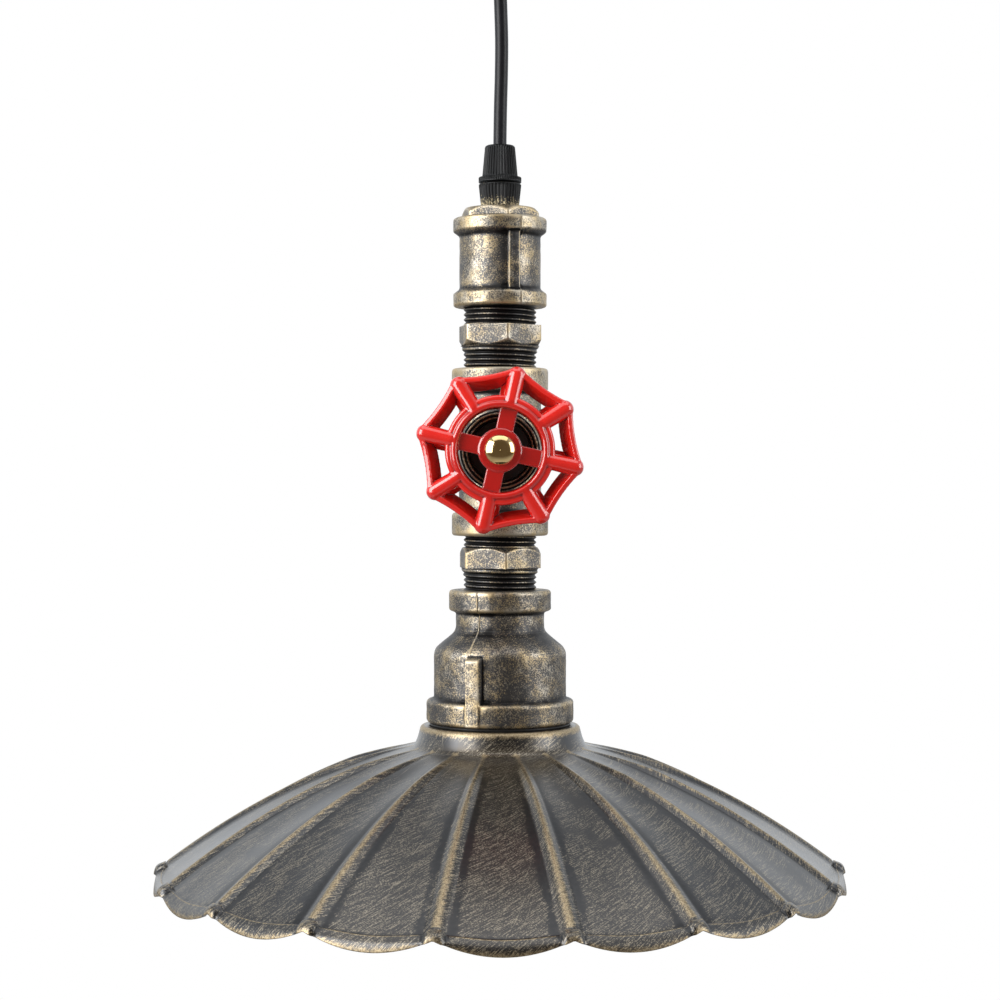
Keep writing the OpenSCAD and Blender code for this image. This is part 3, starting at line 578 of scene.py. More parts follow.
def tube(route, radius, sides):
    """Rings round a route that runs mostly along Z, closed by a point at each end."""
    turn = even_angles(sides)
    ring = np.stack([np.cos(turn), np.sin(turn), np.zeros(sides)], axis=-1) * radius
    rings = route[:, None, :] + ring[None]
    start = np.repeat(route[:1], sides, axis=0)[None]
    end = np.repeat(route[-1:], sides, axis=0)[None]
    return np.concatenate([start, rings, end])


cord_route = smooth_route(CORD_POINTS, CORD_STEP)
cord = skin("hanging_cord", tube(cord_route, CORD_D / 2, CORD_SIDES), FINISHES["black_cord"], False)
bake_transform(cord)
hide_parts("cord_tail", "pendant_cord")

# %% [markdown]
# ## Cord grip
# The black grip is moulded with fine ribs so that fingers can turn it. The ribs are real relief: the radius
# rises and falls round the axis, but only on the two tapered faces and the rim of the flange, never in the
# bore. Cutting each rib out would work too, but a wave in the radius is lighter and can't fail. The rose has
# such a grip too, upside down.

# %% Cord grip
RIBS, TEETH = 38, 60
RIB_DEPTH, RIB_EASE, RIB_ROUND = 0.32, 0.4, 0.6
CORD_BORE = CORD_D / MM / 2 + 0.2
GRIP_ANGLES = even_angles(480)


def ribbed(low, high, above, ribs=RIBS):
    """Ribs between two heights, on the faces outside the radius above."""

    def relief(turn, radius, height):
        wave = (0.5 - 0.5 * np.cos(turn * ribs)) ** RIB_ROUND
        return -RIB_DEPTH * wave * within(height, low, high, RIB_EASE) * (radius > above)

    return relief


FLANGE_R, CAP_LOW_R, CAP_TOP_R, FLANGE_T = 7.75, 6.45, 5.4, 2.0
RIBS_ABOVE_R = 4.5
GRIP_STEP = 0.4


def cap_profile(mouth, flange, back):
    """Profile of a grip's cap from its mouth to its flange and its back."""
    return rounded([
        (CORD_BORE, mouth, 0.3), (CORD_BORE, back, 0), (FLANGE_R, back, 0.3), (FLANGE_R, flange, 0.3),
        (CAP_LOW_R, flange, 0.2), (CAP_TOP_R, mouth, 0.9)])


cap_low, cap_high = span("cord_grip_cap")
flange_z = cap_low + FLANGE_T
cap_ribs = ribbed(flange_z + 0.2, cap_high - 0.5, RIBS_ABOVE_R)
flange_teeth = ribbed(cap_low + 0.5, cap_high, CAP_LOW_R + 0.3, TEETH)


def cap_relief(turn, radius, height):
    return cap_ribs(turn, radius, height) + flange_teeth(turn, radius, height)


grip_cap_profile = cap_profile(cap_high, flange_z, cap_low)
turned("ribbed_grip_cap", "cord_grip_cap", grip_cap_profile, GRIP_STEP, GRIP_ANGLES, cap_relief)

# %% Flecked grip base
BASE_FOOT_R, STUD_R = 6.8, 5.0
FLECKED_BLACK, FLECK_GOLD = (0.006, 0.0065, 0.007, 1), (0.36, 0.30, 0.19, 1)
base_low, base_high = span("cord_grip_base")
plug_low, plug_high = span("top_plug")
base_top = cap_low - 0.5
NECK_R = CAP_LOW_R - 2


def flecked_plastic(low, high):
    """Black plastic whose ribs caught flecks of gold paint towards the foot, between two heights."""
    finish = Finish("black_plastic_flecked")
    edge = finish.mark("edge")
    height = finish.node("SeparateXYZ", None, {0: finish.place()}, out="Z")
    near_foot = 1 - height.step(low, high)
    speck = finish.grain(0.55 * MM, 2, 0.6)
    fleck = (near_foot * 0.42 + edge * 0.25 + speck * 0.8).step(0.72, 0.84)
    return finish.set(
        Base_Color=finish.mix(fleck, FLECKED_BLACK, FLECK_GOLD),
        Metallic=fleck * 0.8,
        Roughness=0.40 + speck * 0.1,
        Specular_IOR_Level=0.25,
        Normal=finish.bump(speck, 0.05 * MM, 0.5),
    )


base_profile = rounded([
    (CORD_BORE, base_high, 0), (CORD_BORE, base_low, 0), (STUD_R, base_low, 0), (STUD_R, plug_high, 0),
    (BASE_FOOT_R, plug_high, 0.2), (FLANGE_R, base_top, 0.4), (NECK_R, base_top, 0), (NECK_R, base_high, 0)])
base_ribs = ribbed(plug_high - 1, base_top - 0.3, STUD_R + 1)
flecked = flecked_plastic(plug_high * MM, base_top * MM)
grip_base = turned("ribbed_grip_base", "cord_grip_base", base_profile, 0.5, GRIP_ANGLES, base_ribs, flecked)
mark_edges(grip_base, 0.0006, 1)

# %% Rose and its grip
ROSE_R, ROSE_WALL, ROSE_ROUND = 50.0, 1.2, 8.0
SLIP = 0.05
STUD_HOLE_R = STUD_R + SLIP
rose_floor, rose_top = span("ceiling_rose")
rose_in_r, rose_in_floor = ROSE_R - ROSE_WALL, rose_floor + ROSE_WALL
rose_profile = rounded([
    (STUD_HOLE_R, rose_floor, 0), (ROSE_R, rose_floor, ROSE_ROUND), (ROSE_R, rose_top, 0),
    (rose_in_r, rose_top, 0), (rose_in_r, rose_in_floor, ROSE_ROUND - ROSE_WALL),
    (STUD_HOLE_R, rose_in_floor, 0)], 12)
turned("spun_rose", "ceiling_rose", rose_profile, 2.0, even_angles(192))

mouth, rose_cap_top = span("rose_grip_cap")
rose_flange = rose_cap_top - FLANGE_T
rose_cap_ribs = ribbed(mouth + 0.5, rose_flange - 0.2, RIBS_ABOVE_R)
rose_cap_profile = cap_profile(mouth, rose_flange, rose_cap_top)
turned("ribbed_rose_cap", "rose_grip_cap", rose_cap_profile, GRIP_STEP, GRIP_ANGLES, rose_cap_ribs)

rose_base_top = span("rose_grip_base")[1]
rose_base_profile = rounded([
    (CORD_BORE, rose_cap_top, 0), (FLANGE_R - 0.4, rose_cap_top, 0.5), (FLANGE_R, rose_floor, 0),
    (STUD_R, rose_floor, 0), (STUD_R, rose_base_top, 0), (CORD_BORE, rose_base_top, 0)])
rose_base_ribs = ribbed(rose_cap_top + 0.4, rose_floor + 1, STUD_R + 1)
turned("ribbed_rose_base", "rose_grip_base", rose_base_profile, GRIP_STEP, GRIP_ANGLES, rose_base_ribs)

# %% [markdown]
# ## Hexagons and threads
# A hexagon is also a turned shape whose radius depends on the angle, and its corners are cut back by a cone.
# A thread is a ridge that climbs one pitch per turn, so its radius depends on the angle and the height.

# %% Plug
PIPE_BORE_R = 9.5
THREAD_R = 13.2
HEX_ANGLES = even_angles(216)
FLAT_TO_CORNER = math.cos(math.pi / 6)


def soft_least(first, second, blend):
    """The smaller of two values, rounded over blend where they meet."""
    gap = np.clip(0.5 + (second - first) / (2 * blend), 0, 1)
    return second + (first - second) * gap - blend * gap * (1 - gap)


def hexagon_cut(turn, radius, corner_r, corner_turn, cone, blend):
    """What to add to a radius to reach a hexagon with one corner at corner_turn, cut back by a cone."""
    local = (turn - corner_turn) % (math.pi / 3) - math.pi / 6
    side = corner_r * FLAT_TO_CORNER / np.cos(local)
    return soft_least(side, cone, blend) - radius


def thread_wave(turn, height, pitch):
    """A sharp wave from 0 to 1 that climbs one pitch per turn."""
    return np.abs((height / pitch + turn / (2 * math.pi)) % 1 * 2 - 1)


def facing(degrees):
    """The angle round Z of a point turned degrees to the right of the viewer's side."""
    return math.radians(degrees - 90)


PLUG_CORNER_R, PLUG_H, PLUG_TURN = 14.8, 3.6, facing(11.6)
PLUG_CONE, PLUG_SOFT = 1.1, 0.5
plug_foot = plug_high - PLUG_H


def plug_relief(turn, radius, height):
    cone = PLUG_CORNER_R * FLAT_TO_CORNER - 0.2 + (plug_high - height) * PLUG_CONE
    cut = hexagon_cut(turn, radius, PLUG_CORNER_R, PLUG_TURN, cone, PLUG_SOFT)
    outside = (height > plug_foot - 0.01) & (radius > THREAD_R - 1.5)
    return np.where(outside, np.minimum(cut, 0), 0)


plug_profile = rounded([
    (STUD_HOLE_R, plug_high, 0), (STUD_HOLE_R, plug_foot, 0), (PIPE_BORE_R, plug_foot, 0),
    (PIPE_BORE_R, plug_low, 0), (THREAD_R, plug_low, 0), (THREAD_R, plug_foot, 0),
    (PLUG_CORNER_R, plug_foot, 0), (PLUG_CORNER_R, plug_high, 0), (PLUG_CORNER_R - 2.2, plug_high, 0)])
plug = turned("hexagon_plug", "top_plug", plug_profile, 0.35, HEX_ANGLES, plug_relief, BRIGHT_CASTING)
mark_edges(plug)

# %% Nipples
THREAD_PITCH, THREAD_DEPTH, THREAD_SHARP = 1.81, 0.95, 1.3
HEX_H, ENGAGED = 7.3, 9.0
HEX_CORNER_R = 15.8
TAPER_L = 3.2
THREAD_END, THREAD_EASE = 1.0, 1.5
HEX_CONE, HEX_SOFT = 1.15, 0.4
THREAD_SHADE = 0.62


def nipple_skin(name, node, thread_high, corner_turn, chamfer_high):
    """A hexagon between two threads. The corners are cut at its upper or its lower end."""
    low, high = span(node)
    hex_top = high - ENGAGED - thread_high
    hex_low = hex_top - HEX_H
    flat_r = HEX_CORNER_R * FLAT_TO_CORNER

    def relief(turn, radius, height):
        depth = hex_top - height if chamfer_high else height - hex_low
        cone = flat_r - 0.1 + depth * HEX_CONE
        hexagon = hexagon_cut(turn, radius, HEX_CORNER_R, facing(corner_turn), cone, HEX_SOFT)
        groove = thread_wave(turn, height, THREAD_PITCH) ** THREAD_SHARP
        bare = within(height, low + THREAD_END, high - THREAD_END, THREAD_EASE)
        taper = np.clip(1 - (hex_low - height) / TAPER_L, 0, 1) * (height < hex_low + 0.01)
        shank = (flat_r + 0.5 - THREAD_R) * taper - THREAD_DEPTH * groove * bare * (1 - 0.7 * taper)
        shank = np.where(radius > PIPE_BORE_R + 1, shank, 0)
        return np.where(radius > THREAD_R + 0.3, hexagon, shank)

    profile = np.array([
        (PIPE_BORE_R, high), (PIPE_BORE_R, low), (THREAD_R, low), (THREAD_R, hex_low),
        (HEX_CORNER_R - 1, hex_low), (HEX_CORNER_R, hex_low), (HEX_CORNER_R, hex_top),
        (HEX_CORNER_R - 1, hex_top), (THREAD_R, hex_top), (THREAD_R, high)])
    grid = lathe(refined(profile, 0.22), HEX_ANGLES, relief)
    piece = skin(name, grid, BRIGHT_CASTING)
    mark_edges(piece, 0.0008, 2)
    out = np.linalg.norm(grid[..., :2], axis=-1) / MM
    on_thread = np.abs(grid[..., 2] / MM - (hex_top + hex_low) / 2) > HEX_H / 2 + 0.6
    add_to_edges(piece, -THREAD_SHADE * on_thread * np.clip((THREAD_R + 0.7 - out) / 0.6, 0, 1))
    dress(piece, node)


nipple_skin("upper_hexagon_nipple", "upper_nipple", 6.7, 10.6, False)
nipple_skin("lower_hexagon_nipple", "lower_nipple", 4.3, 8.0, True)

# %% [markdown]
# ## Castings
# The coupling and the reducer are turned too, but a casting shows how it was made: a flat rib for the wrench
# and a thin raised line where the two halves of the mould met. Both are relief on the turned profile.

# %% Rib and parting line
CAST_BUMP, CAST_BUMP_SIZE = 0.10 * MM, 2.6 * MM


def smooth_band(value, half, soft):
    """1 within half of zero, falling to 0 over soft."""
    return np.clip((half + soft / 2 - np.abs(value)) / soft, 0, 1)


def seam_angles(count, centre, reach, more):
    """Even angles, and more of them within reach of a centre, so that a thin line has points to stand on."""
    extra = (centre + np.linspace(-reach, reach, more)) % (2 * math.pi)
    return np.unique(np.concatenate([even_angles(count), extra]).round(6))


def wrapped(turn):
    return (turn + math.pi) % (2 * math.pi) - math.pi


def cast_bumps(grid, seed):
    """Move the points of a grid out and in a little, as sand does to a casting."""
    flat = grid.reshape(-1, 3)
    start = Vector((seed, 0, 0))
    shift = np.array([noise.noise(Vector(p) / CAST_BUMP_SIZE + start) for p in flat]) * CAST_BUMP
    radial = flat[:, :2] / np.maximum(np.linalg.norm(flat[:, :2], axis=1, keepdims=True), 1e-9)
    flat[:, :2] += radial * shift[:, None]
    return flat.reshape(grid.shape)


def casting(name, node, profile, longest, angles, relief, wear_and_shading, seed, finish):
    """A turned casting with relief, bumps, and marks for bright brass, painted shade and painted highlight.
    """
    rows = refined(profile, longest)
    piece = skin(name, cast_bumps(lathe(rows, angles, relief), seed), finish)
    mark_edges(piece)
    add_to_edges(piece, wear_and_shading(angles[None, :], rows[:, 1:2]))
    dress(piece, node)


# %% Coupling
coupling_low, coupling_high = span("coupling")
COUPLING_R, COUPLING_BEAD_R, COUPLING_BEAD_H = 14.7, 16.9, 4.8
FEMALE_R = THREAD_R + SLIP
RIB_TURN, RIB_W, RIB_RISE = facing(19.5), 4.0, 1.0
# How far left of the rib the painted highlight lies, in millimetres
HIGHLIGHT_ACROSS = 12.5
low_bead, high_bead = coupling_low + COUPLING_BEAD_H, coupling_high - COUPLING_BEAD_H


def coupling_relief(turn, radius, height):
    across = wrapped(turn - RIB_TURN) * COUPLING_R
    between = within(height, low_bead - 2, high_bead + 2, 1.5)
    rib = smooth_band(across, RIB_W / 2, 0.5) * between * np.maximum(COUPLING_R + RIB_RISE - radius, 0)
    seam = smooth_band(across - RIB_W / 2, 0.15, 0.5) * 0.22
    return np.where(radius > FEMALE_R + 0.6, rib + seam, 0)


def coupling_wear_and_shading(turn, height):
    """Bright on the rib's edges, the parting line and the beads. A painted highlight lies left of the rib,
    and painted shade on the rib's face, beside its left edge and on the body next to the beads.
    """
    across = wrapped(turn - RIB_TURN) * COUPLING_R
    from_middle = height - (low_bead + high_bead) / 2
    half = (high_bead - low_bead) / 2
    body = smooth_band(from_middle, half + 0.5, 1.0)
    edges = smooth_band(np.abs(across) - RIB_W / 2 + 0.2, 0.22, 0.35)
    # Painted shade on the rib's face and in a strip beside its left edge
    flat = smooth_band(across - 0.5, RIB_W / 2 - 0.9, 0.8) + smooth_band(across + RIB_W / 2 + 1.6, 0.9, 1.2)
    line = smooth_band(across - RIB_W / 2, 0.2, 0.4)
    # A painted highlight in a wide patch left of the rib
    glow = smooth_band(across + HIGHLIGHT_ACROSS, 5, 4)
    # Painted shade on the body where it meets the beads
    near_beads = smooth_band(np.abs(from_middle) - half + 1, 1, 3)
    on_body = 0.35 * edges - 0.22 * flat + 0.3 * line + 0.08 * glow - 0.22 * near_beads
    return on_body * body + (0.7 * line + 0.18) * (1 - body)


coupling_profile = rounded([
    (FEMALE_R, coupling_high, 0), (FEMALE_R, coupling_low, 0), (COUPLING_BEAD_R, coupling_low, 1.0),
    (COUPLING_BEAD_R, low_bead, 0.9), (COUPLING_R, low_bead + 1.6, 1.6), (COUPLING_R, high_bead - 1.6, 1.6),
    (COUPLING_BEAD_R, high_bead, 0.9), (COUPLING_BEAD_R, coupling_high, 1.0)])
rib_reach = RIB_W * 0.75 / COUPLING_R
coupling_angles = seam_angles(200, RIB_TURN, rib_reach, 50)
casting("cast_coupling", "coupling", coupling_profile, 0.4, coupling_angles, coupling_relief, coupling_wear_and_shading,
        seed=3, finish=BRIGHT_CASTING)

# %% Reducer
reducer_low, reducer_high = span("reducer")
RED_TOP_R, RED_TOP_H, RED_NECK_R, RED_NECK_H = 18.45, 7.2, 15.95, 7.6
RED_FLARE_H, RED_BODY_R, RED_LOW_R, RED_LOW_H, RED_BORE_R = 6.6, 23.9, 26.6, 8.0, 21.75
red_neck_low = reducer_high - RED_TOP_H - RED_NECK_H
red_body_top = red_neck_low - RED_FLARE_H
red_bead_top = reducer_low + RED_LOW_H
RED_WEB_GAP, RED_WEB_T = 3, 4
red_web_top = reducer_high - ENGAGED - RED_WEB_GAP
red_web_low = red_web_top - RED_WEB_T
RED_RIB_TURN, RED_RIB_W, RED_RIB_REACH = facing(-22), 5.6, 0.22
RED_RIB_TOP = red_body_top - 1.2
RED_LINE_TURN, RED_LINE_BEND = facing(-27.4), math.radians(1.2)


def from_parting_line(turn, height):
    """Distance from the mould's parting line, which runs up from the rib's left edge with a slight bend."""
    share_up = (height - red_body_top) / (reducer_high - red_body_top)
    bend = RED_LINE_BEND * np.sin(share_up * 2 * math.pi)
    return wrapped(turn - RED_LINE_TURN + bend) * RED_TOP_R


def reducer_relief(turn, radius, height):
    across = wrapped(turn - RED_RIB_TURN) * RED_LOW_R
    reach = np.clip((RED_RIB_TOP - height) / 1.4, 0, 1) * np.clip((height - reducer_low) / 0.6, 0, 1)
    rib = smooth_band(across, RED_RIB_W / 2, 0.9) * reach * np.maximum(RED_LOW_R + 0.3 - radius, 0)
    above = np.clip(height - RED_RIB_TOP, 0, 1)
    seam = smooth_band(from_parting_line(turn, height), 0.16, 0.5) * 0.28 * above
    outside = (radius > FEMALE_R + 1.5) & ((height > red_web_low) | (radius > RED_BORE_R + 0.8))
    return np.where(outside, rib + seam, 0)


def reducer_wear_and_shading(turn, height):
    """Bright along the parting line, on the rib and its left edge; a painted shadow beside the rib's right
    edge; darker on the flare and just above the foot bead.
    """
    across = wrapped(turn - RED_RIB_TURN) * RED_LOW_R
    above = np.clip(height - RED_RIB_TOP, 0, 1)
    line = smooth_band(from_parting_line(turn, height), 0.22, 0.4) * above
    face = smooth_band(across, RED_RIB_W / 2 - 0.4, 0.6) * (1 - above)
    left_edge = smooth_band(across + RED_RIB_W / 2 - 0.3, 0.3, 0.4) * (1 - above)
    # Painted shadow beside the rib's right edge
    beside = smooth_band(across - RED_RIB_W / 2 - 0.5, 0.3, 0.5) * (1 - above) * (height > red_bead_top)
    flare = smooth_band(height - (red_neck_low + red_body_top) / 2 - 1, RED_FLARE_H / 2, 4)
    foot = smooth_band(height - red_bead_top - 1.5, 1.2, 2.5) * (1 - smooth_band(across, RED_RIB_W / 2, 0.5))
    return 0.8 * line + 0.2 * face + 0.3 * left_edge - 0.35 * beside - 0.22 * flare - 0.22 * foot


reducer_profile = rounded([
    (FEMALE_R, reducer_high, 0), (FEMALE_R, red_web_top, 0), (STUD_HOLE_R, red_web_top, 0),
    (STUD_HOLE_R, red_web_low, 0), (THREAD_R - 1, red_web_low, 0), (RED_BORE_R, red_body_top - 2, 0),
    (RED_BORE_R, reducer_low, 0), (RED_LOW_R, reducer_low, 1.4), (RED_LOW_R, red_bead_top, 1.3),
    (RED_BODY_R, red_bead_top + 0.9, 0.9), (RED_BODY_R, red_body_top, 4.5), (RED_NECK_R, red_neck_low, 4),
    (RED_NECK_R, reducer_high - RED_TOP_H - 1, 0.9), (RED_TOP_R, reducer_high - RED_TOP_H, 1.1),
    (RED_TOP_R, reducer_high, 1.2)])
reducer_angles = seam_angles(240, RED_RIB_TURN, RED_RIB_REACH, 90)
casting("cast_reducer", "reducer", reducer_profile, 0.45, reducer_angles, reducer_relief, reducer_wear_and_shading,
        seed=9, finish=CASTING)

# %% [markdown]
# ## Tee and wheel
# The tee and the valve wheel join shapes that no single profile gives. Their solids are already right, so we
# copy them, remesh the copy into small even faces and relax it a little: sharp joints turn into cast fillets.


# %% Cast skins
def cast_skin(name, node, voxel, relax, swell, finish):
    """A finely remeshed copy of a node, relaxed and then swelled by what relaxing took off."""
    piece = placed(name, frame["nodes"][node].data.copy())
    remesh = piece.modifiers.new("remesh", "REMESH")
    remesh.mode = "VOXEL"
    remesh.voxel_size = voxel
    smooth = piece.modifiers.new("relax", "SMOOTH")
    smooth.factor = 0.5
    smooth.iterations = relax
    evaluated = piece.evaluated_get(bpy.context.evaluated_depsgraph_get())
    mesh = bpy.data.meshes.new_from_object(evaluated)
    piece.modifiers.clear()
    piece.data = mesh
    mesh.materials.clear()
    mesh.materials.append(finish)
    mesh.shade_smooth()
    points = per_point(piece, "co") + swell * per_point(piece, "normal")
    mesh.vertices.foreach_set("co", points.ravel())
    return piece


WHEEL_JOINT = frame["record"]["behaviour"]["joints"][1]["pos_m"]
BRANCH_Z = WHEEL_JOINT[2]


def from_branch(points):
    """Distance of each point from the branch's axis, in millimetres."""
    return np.hypot(points[:, 0], points[:, 2] - BRANCH_Z) / MM


# %% Tee
MOUTH_R, MOUTH_DEPTH = 16.6, 4.0
MOUTH_RING_R, INNER_RING_R = 12.9, 11.5
GROOVE_MID_R, GROOVE_HALF, GROOVE_DEPTH = 12.5, 1.9, 0.5
TEE_VOXEL, TEE_RELAX, TEE_BAND_H = 0.42 * MM, 4, 7.0
RING_BRIGHT, MOUTH_SHADE, BAND_RUB = 1.9, 1.0, 0.18
tee = cast_skin("cast_tee", "tee", TEE_VOXEL, TEE_RELAX, 0, BRIGHT_CASTING)
tee_points = per_point(tee, "co")
tee_out = from_branch(tee_points)
behind_mouth = (tee_points[:, 1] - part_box("tee")[0][1]) / MM
rings = smooth_band(tee_out - MOUTH_RING_R, 0.25, 0.35) + smooth_band(tee_out - INNER_RING_R, 0.2, 0.3)
grooved = (behind_mouth < GROOVE_DEPTH) * smooth_band(tee_out - GROOVE_MID_R, GROOVE_HALF, 0.6) * (1 - rings)
tee_points[:, 1] += GROOVE_DEPTH * MM * grooved
tee.data.vertices.foreach_set("co", tee_points.ravel())
mark_edges(tee)
in_mouth = np.clip((MOUTH_DEPTH - behind_mouth) / 2, 0, 1) * np.clip((MOUTH_R - tee_out) / 0.5, 0, 1)
tee_low, tee_high = span("tee")
on_band = np.abs(tee_points[:, 2] - BRANCH_Z) / MM > (tee_high - tee_low) / 2 - TEE_BAND_H
# The mouth of the branch is darkened as the painted shadow of the wheel, except two thin rings that stay
# bright; the end bands of the tee are brighter.
add_to_edges(tee, in_mouth * (RING_BRIGHT * rings - MOUTH_SHADE) + BAND_RUB * on_band)
dress(tee, "tee")
# The gland bush in the wheel's shadow takes the darker copy of the casting: painted shade.
frame["nodes"]["gland_bush"].data.materials[0] = SHADED_CASTING

# %% Valve wheel
WHEEL_VOXEL, WHEEL_RELAX, WHEEL_SWELL = 0.24 * MM, 8, 0.18 * MM
WHEEL_RING_R, RING_FLAT_R, FLAT_SHARE = 14.3, 17.4, 0.5
wheel = cast_skin("valve_wheel", "handwheel", WHEEL_VOXEL, WHEEL_RELAX, WHEEL_SWELL, FINISHES["red_enamel"])
mark_edges(wheel, 0.0010, 4)
wheel_out = from_branch(per_point(wheel, "co"))
# Painted shade on the recessed hub and spokes, and half as much on the flat of the ring.
on_spokes = np.clip(WHEEL_RING_R - wheel_out + 0.5, 0, 1)
on_flat = np.clip(RING_FLAT_R - wheel_out + 0.5, 0, 1)
store_mark(wheel, "recess", np.maximum(on_spokes, FLAT_SHARE * on_flat))
dress(wheel, "handwheel")

# %% [markdown]
# ## Domed nut
# The nut that holds the wheel is a polished dome. It is turned along the branch, so its grid is made along Z
# and laid over towards the viewer.

# %% Domed nut
nut_back = -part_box("cap_nut")[1][1] / MM
nut_front = -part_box("cap_nut")[0][1] / MM
NUT_R, NUT_SKIRT, NUT_HOLE_R, NUT_TILT = 5.2, 3.0, 3.05, 42


def along_branch(grid):
    """Points modelled along +Z from the pipe's axis, laid along the branch towards -Y."""
    x, y, z = grid[..., 0], grid[..., 1], grid[..., 2]
    return np.stack([x, -z, y + BRANCH_Z], axis=-1)


DOME_R = NUT_R / math.sin(math.radians(NUT_TILT))
dome_tilts = np.radians(np.linspace(NUT_TILT - 3, 0, 20))
dome = [(DOME_R * math.sin(a), nut_front - DOME_R + DOME_R * math.cos(a)) for a in dome_tilts]
dome_edge = nut_front - DOME_R + DOME_R * math.cos(math.radians(NUT_TILT))
nut_profile = np.array(
    [(0.001, nut_back + NUT_SKIRT), (NUT_HOLE_R, nut_back + NUT_SKIRT), (NUT_HOLE_R, nut_back),
     (NUT_R - 0.25, nut_back), (NUT_R, nut_back + 0.25), (NUT_R, dome_edge - 0.4),
     (NUT_R - 0.05, dome_edge - 0.1)] + dome[:-1] + [(0.001, nut_front)])
nut_grid = along_branch(lathe(nut_profile, even_angles(64)))
dress(skin("domed_nut", nut_grid, FINISHES["polished_brass"]), "cap_nut")

# %% [markdown]
# ## Shade
# The shade is one pressed sheet. Every joint of two panels is a rounded ridge, each panel sags between its
# ridges, and the rim turns down into a lip. The lip is deepest in the middle of a panel, which gives the
# scalloped edge. One function lays the rings of points for either face of the sheet.

# %% Sizes and columns of the shade
PANELS, SHADE_TURN = 18, 10.5
COLLAR_TOP_R, COLLAR_FOOT_R, COLLAR_H, SHADE_T = 28.8, 31.5, 7.6, 1.0
RIM_R, LIP_INSET, SHADE_FALL, SHADE_SLOPE = 124.0, 3.0, 43.7, 0.23
RIDGE_H, RIDGE_HALF_TOP, RIDGE_HALF_RIM, PANEL_SAG = 1.7, 2.1, 4.2, 1.1
LIP_RIDGE, LIP_PANEL = 1.2, 6.1
SHADE_HOLE_R = 20.3
CREASE_R = RIM_R - LIP_INSET
PANEL_SPAN = CREASE_R - COLLAR_FOOT_R
PANEL_ROWS = 40
NOSE_HALF, NOSE_SOFT, GROOVE, INNER_WEAR_AND_LIGHT = 3.0, 1.0, 0.3, 0.3
collar_z = span("shade")[1]
panel_z = collar_z - COLLAR_H
RIDGE_SHARE, RIDGE_MOST = 0.22, 0.24
RIDGE_SHARES = np.linspace(-RIDGE_SHARE, RIDGE_SHARE, 34)
PANEL_SHARES = np.linspace(RIDGE_SHARE, 0.5, 7)[1:]
SHARES = np.concatenate([-PANEL_SHARES[::-1], RIDGE_SHARES, PANEL_SHARES[:-1]])
pitch = 2 * math.pi / PANELS
panel_number = np.repeat(np.arange(PANELS), len(SHARES))
share = np.tile(SHARES, PANELS)
shade_angles = (panel_number + share) * pitch + facing(SHADE_TURN)
print(PANELS, "panels,", len(share), "columns")


# %% Ridges and lip
def ridge(radius):
    """Height of the ridge at each column, from 0 to 1."""
    edge = min(RIDGE_MOST, ridge_half(radius) / (radius * pitch))
    return np.where(np.abs(share) < edge, 0.5 + 0.5 * np.cos(math.pi * share / edge), 0)


def ridge_half(radius):
    return RIDGE_HALF_TOP + (RIDGE_HALF_RIM - RIDGE_HALF_TOP) * (radius - COLLAR_FOOT_R) / PANEL_SPAN


def valley_shade(radius):
    """How deep each column lies in the painted shade beside a ridge, from 0 to 1."""
    half = ridge_half(radius)
    away = (np.abs(share) * radius * pitch - 1.25 * half) / (0.6 * half)
    return np.exp(-away**2)


def nose():
    """The boxy end of a ridge where it crosses the lip, from 0 to 1."""
    return np.clip((NOSE_HALF - np.abs(share) * RIM_R * pitch) / NOSE_SOFT + 0.5, 0, 1)


def sag():
    return PANEL_SAG * (0.5 - 0.5 * np.cos(2 * math.pi * share))


def ring_at(radius, height):
    """One ring of points. Both values may change round the ring."""
    x, y = radius * np.cos(shade_angles), radius * np.sin(shade_angles)
    return np.stack([x, y, height + 0 * share], axis=-1)


def lip_drop():
    return LIP_RIDGE + (LIP_PANEL - LIP_RIDGE) * (1 - (1 - 2 * np.abs(share)) ** 2)


# %% Both faces of the sheet
# Radius beyond the collar's top, depth below it, and wear
COLLAR_RINGS = [
    (-1.6, 0, 0.6), (-0.6, 0.15, 1.2), (0, 0.7, 1.2), (0.25, 1.6, 0.8), (0.6, 0.40 * COLLAR_H, 0.15),
    (1.1, 0.62 * COLLAR_H, 0.05), (1.9, 0.85 * COLLAR_H, 0.25)]
LIP_STEPS = (0.05, 0.10, 0.18, 0.3, 0.42, 0.55, 0.68, 0.8, 0.9, 0.96, 1.0)


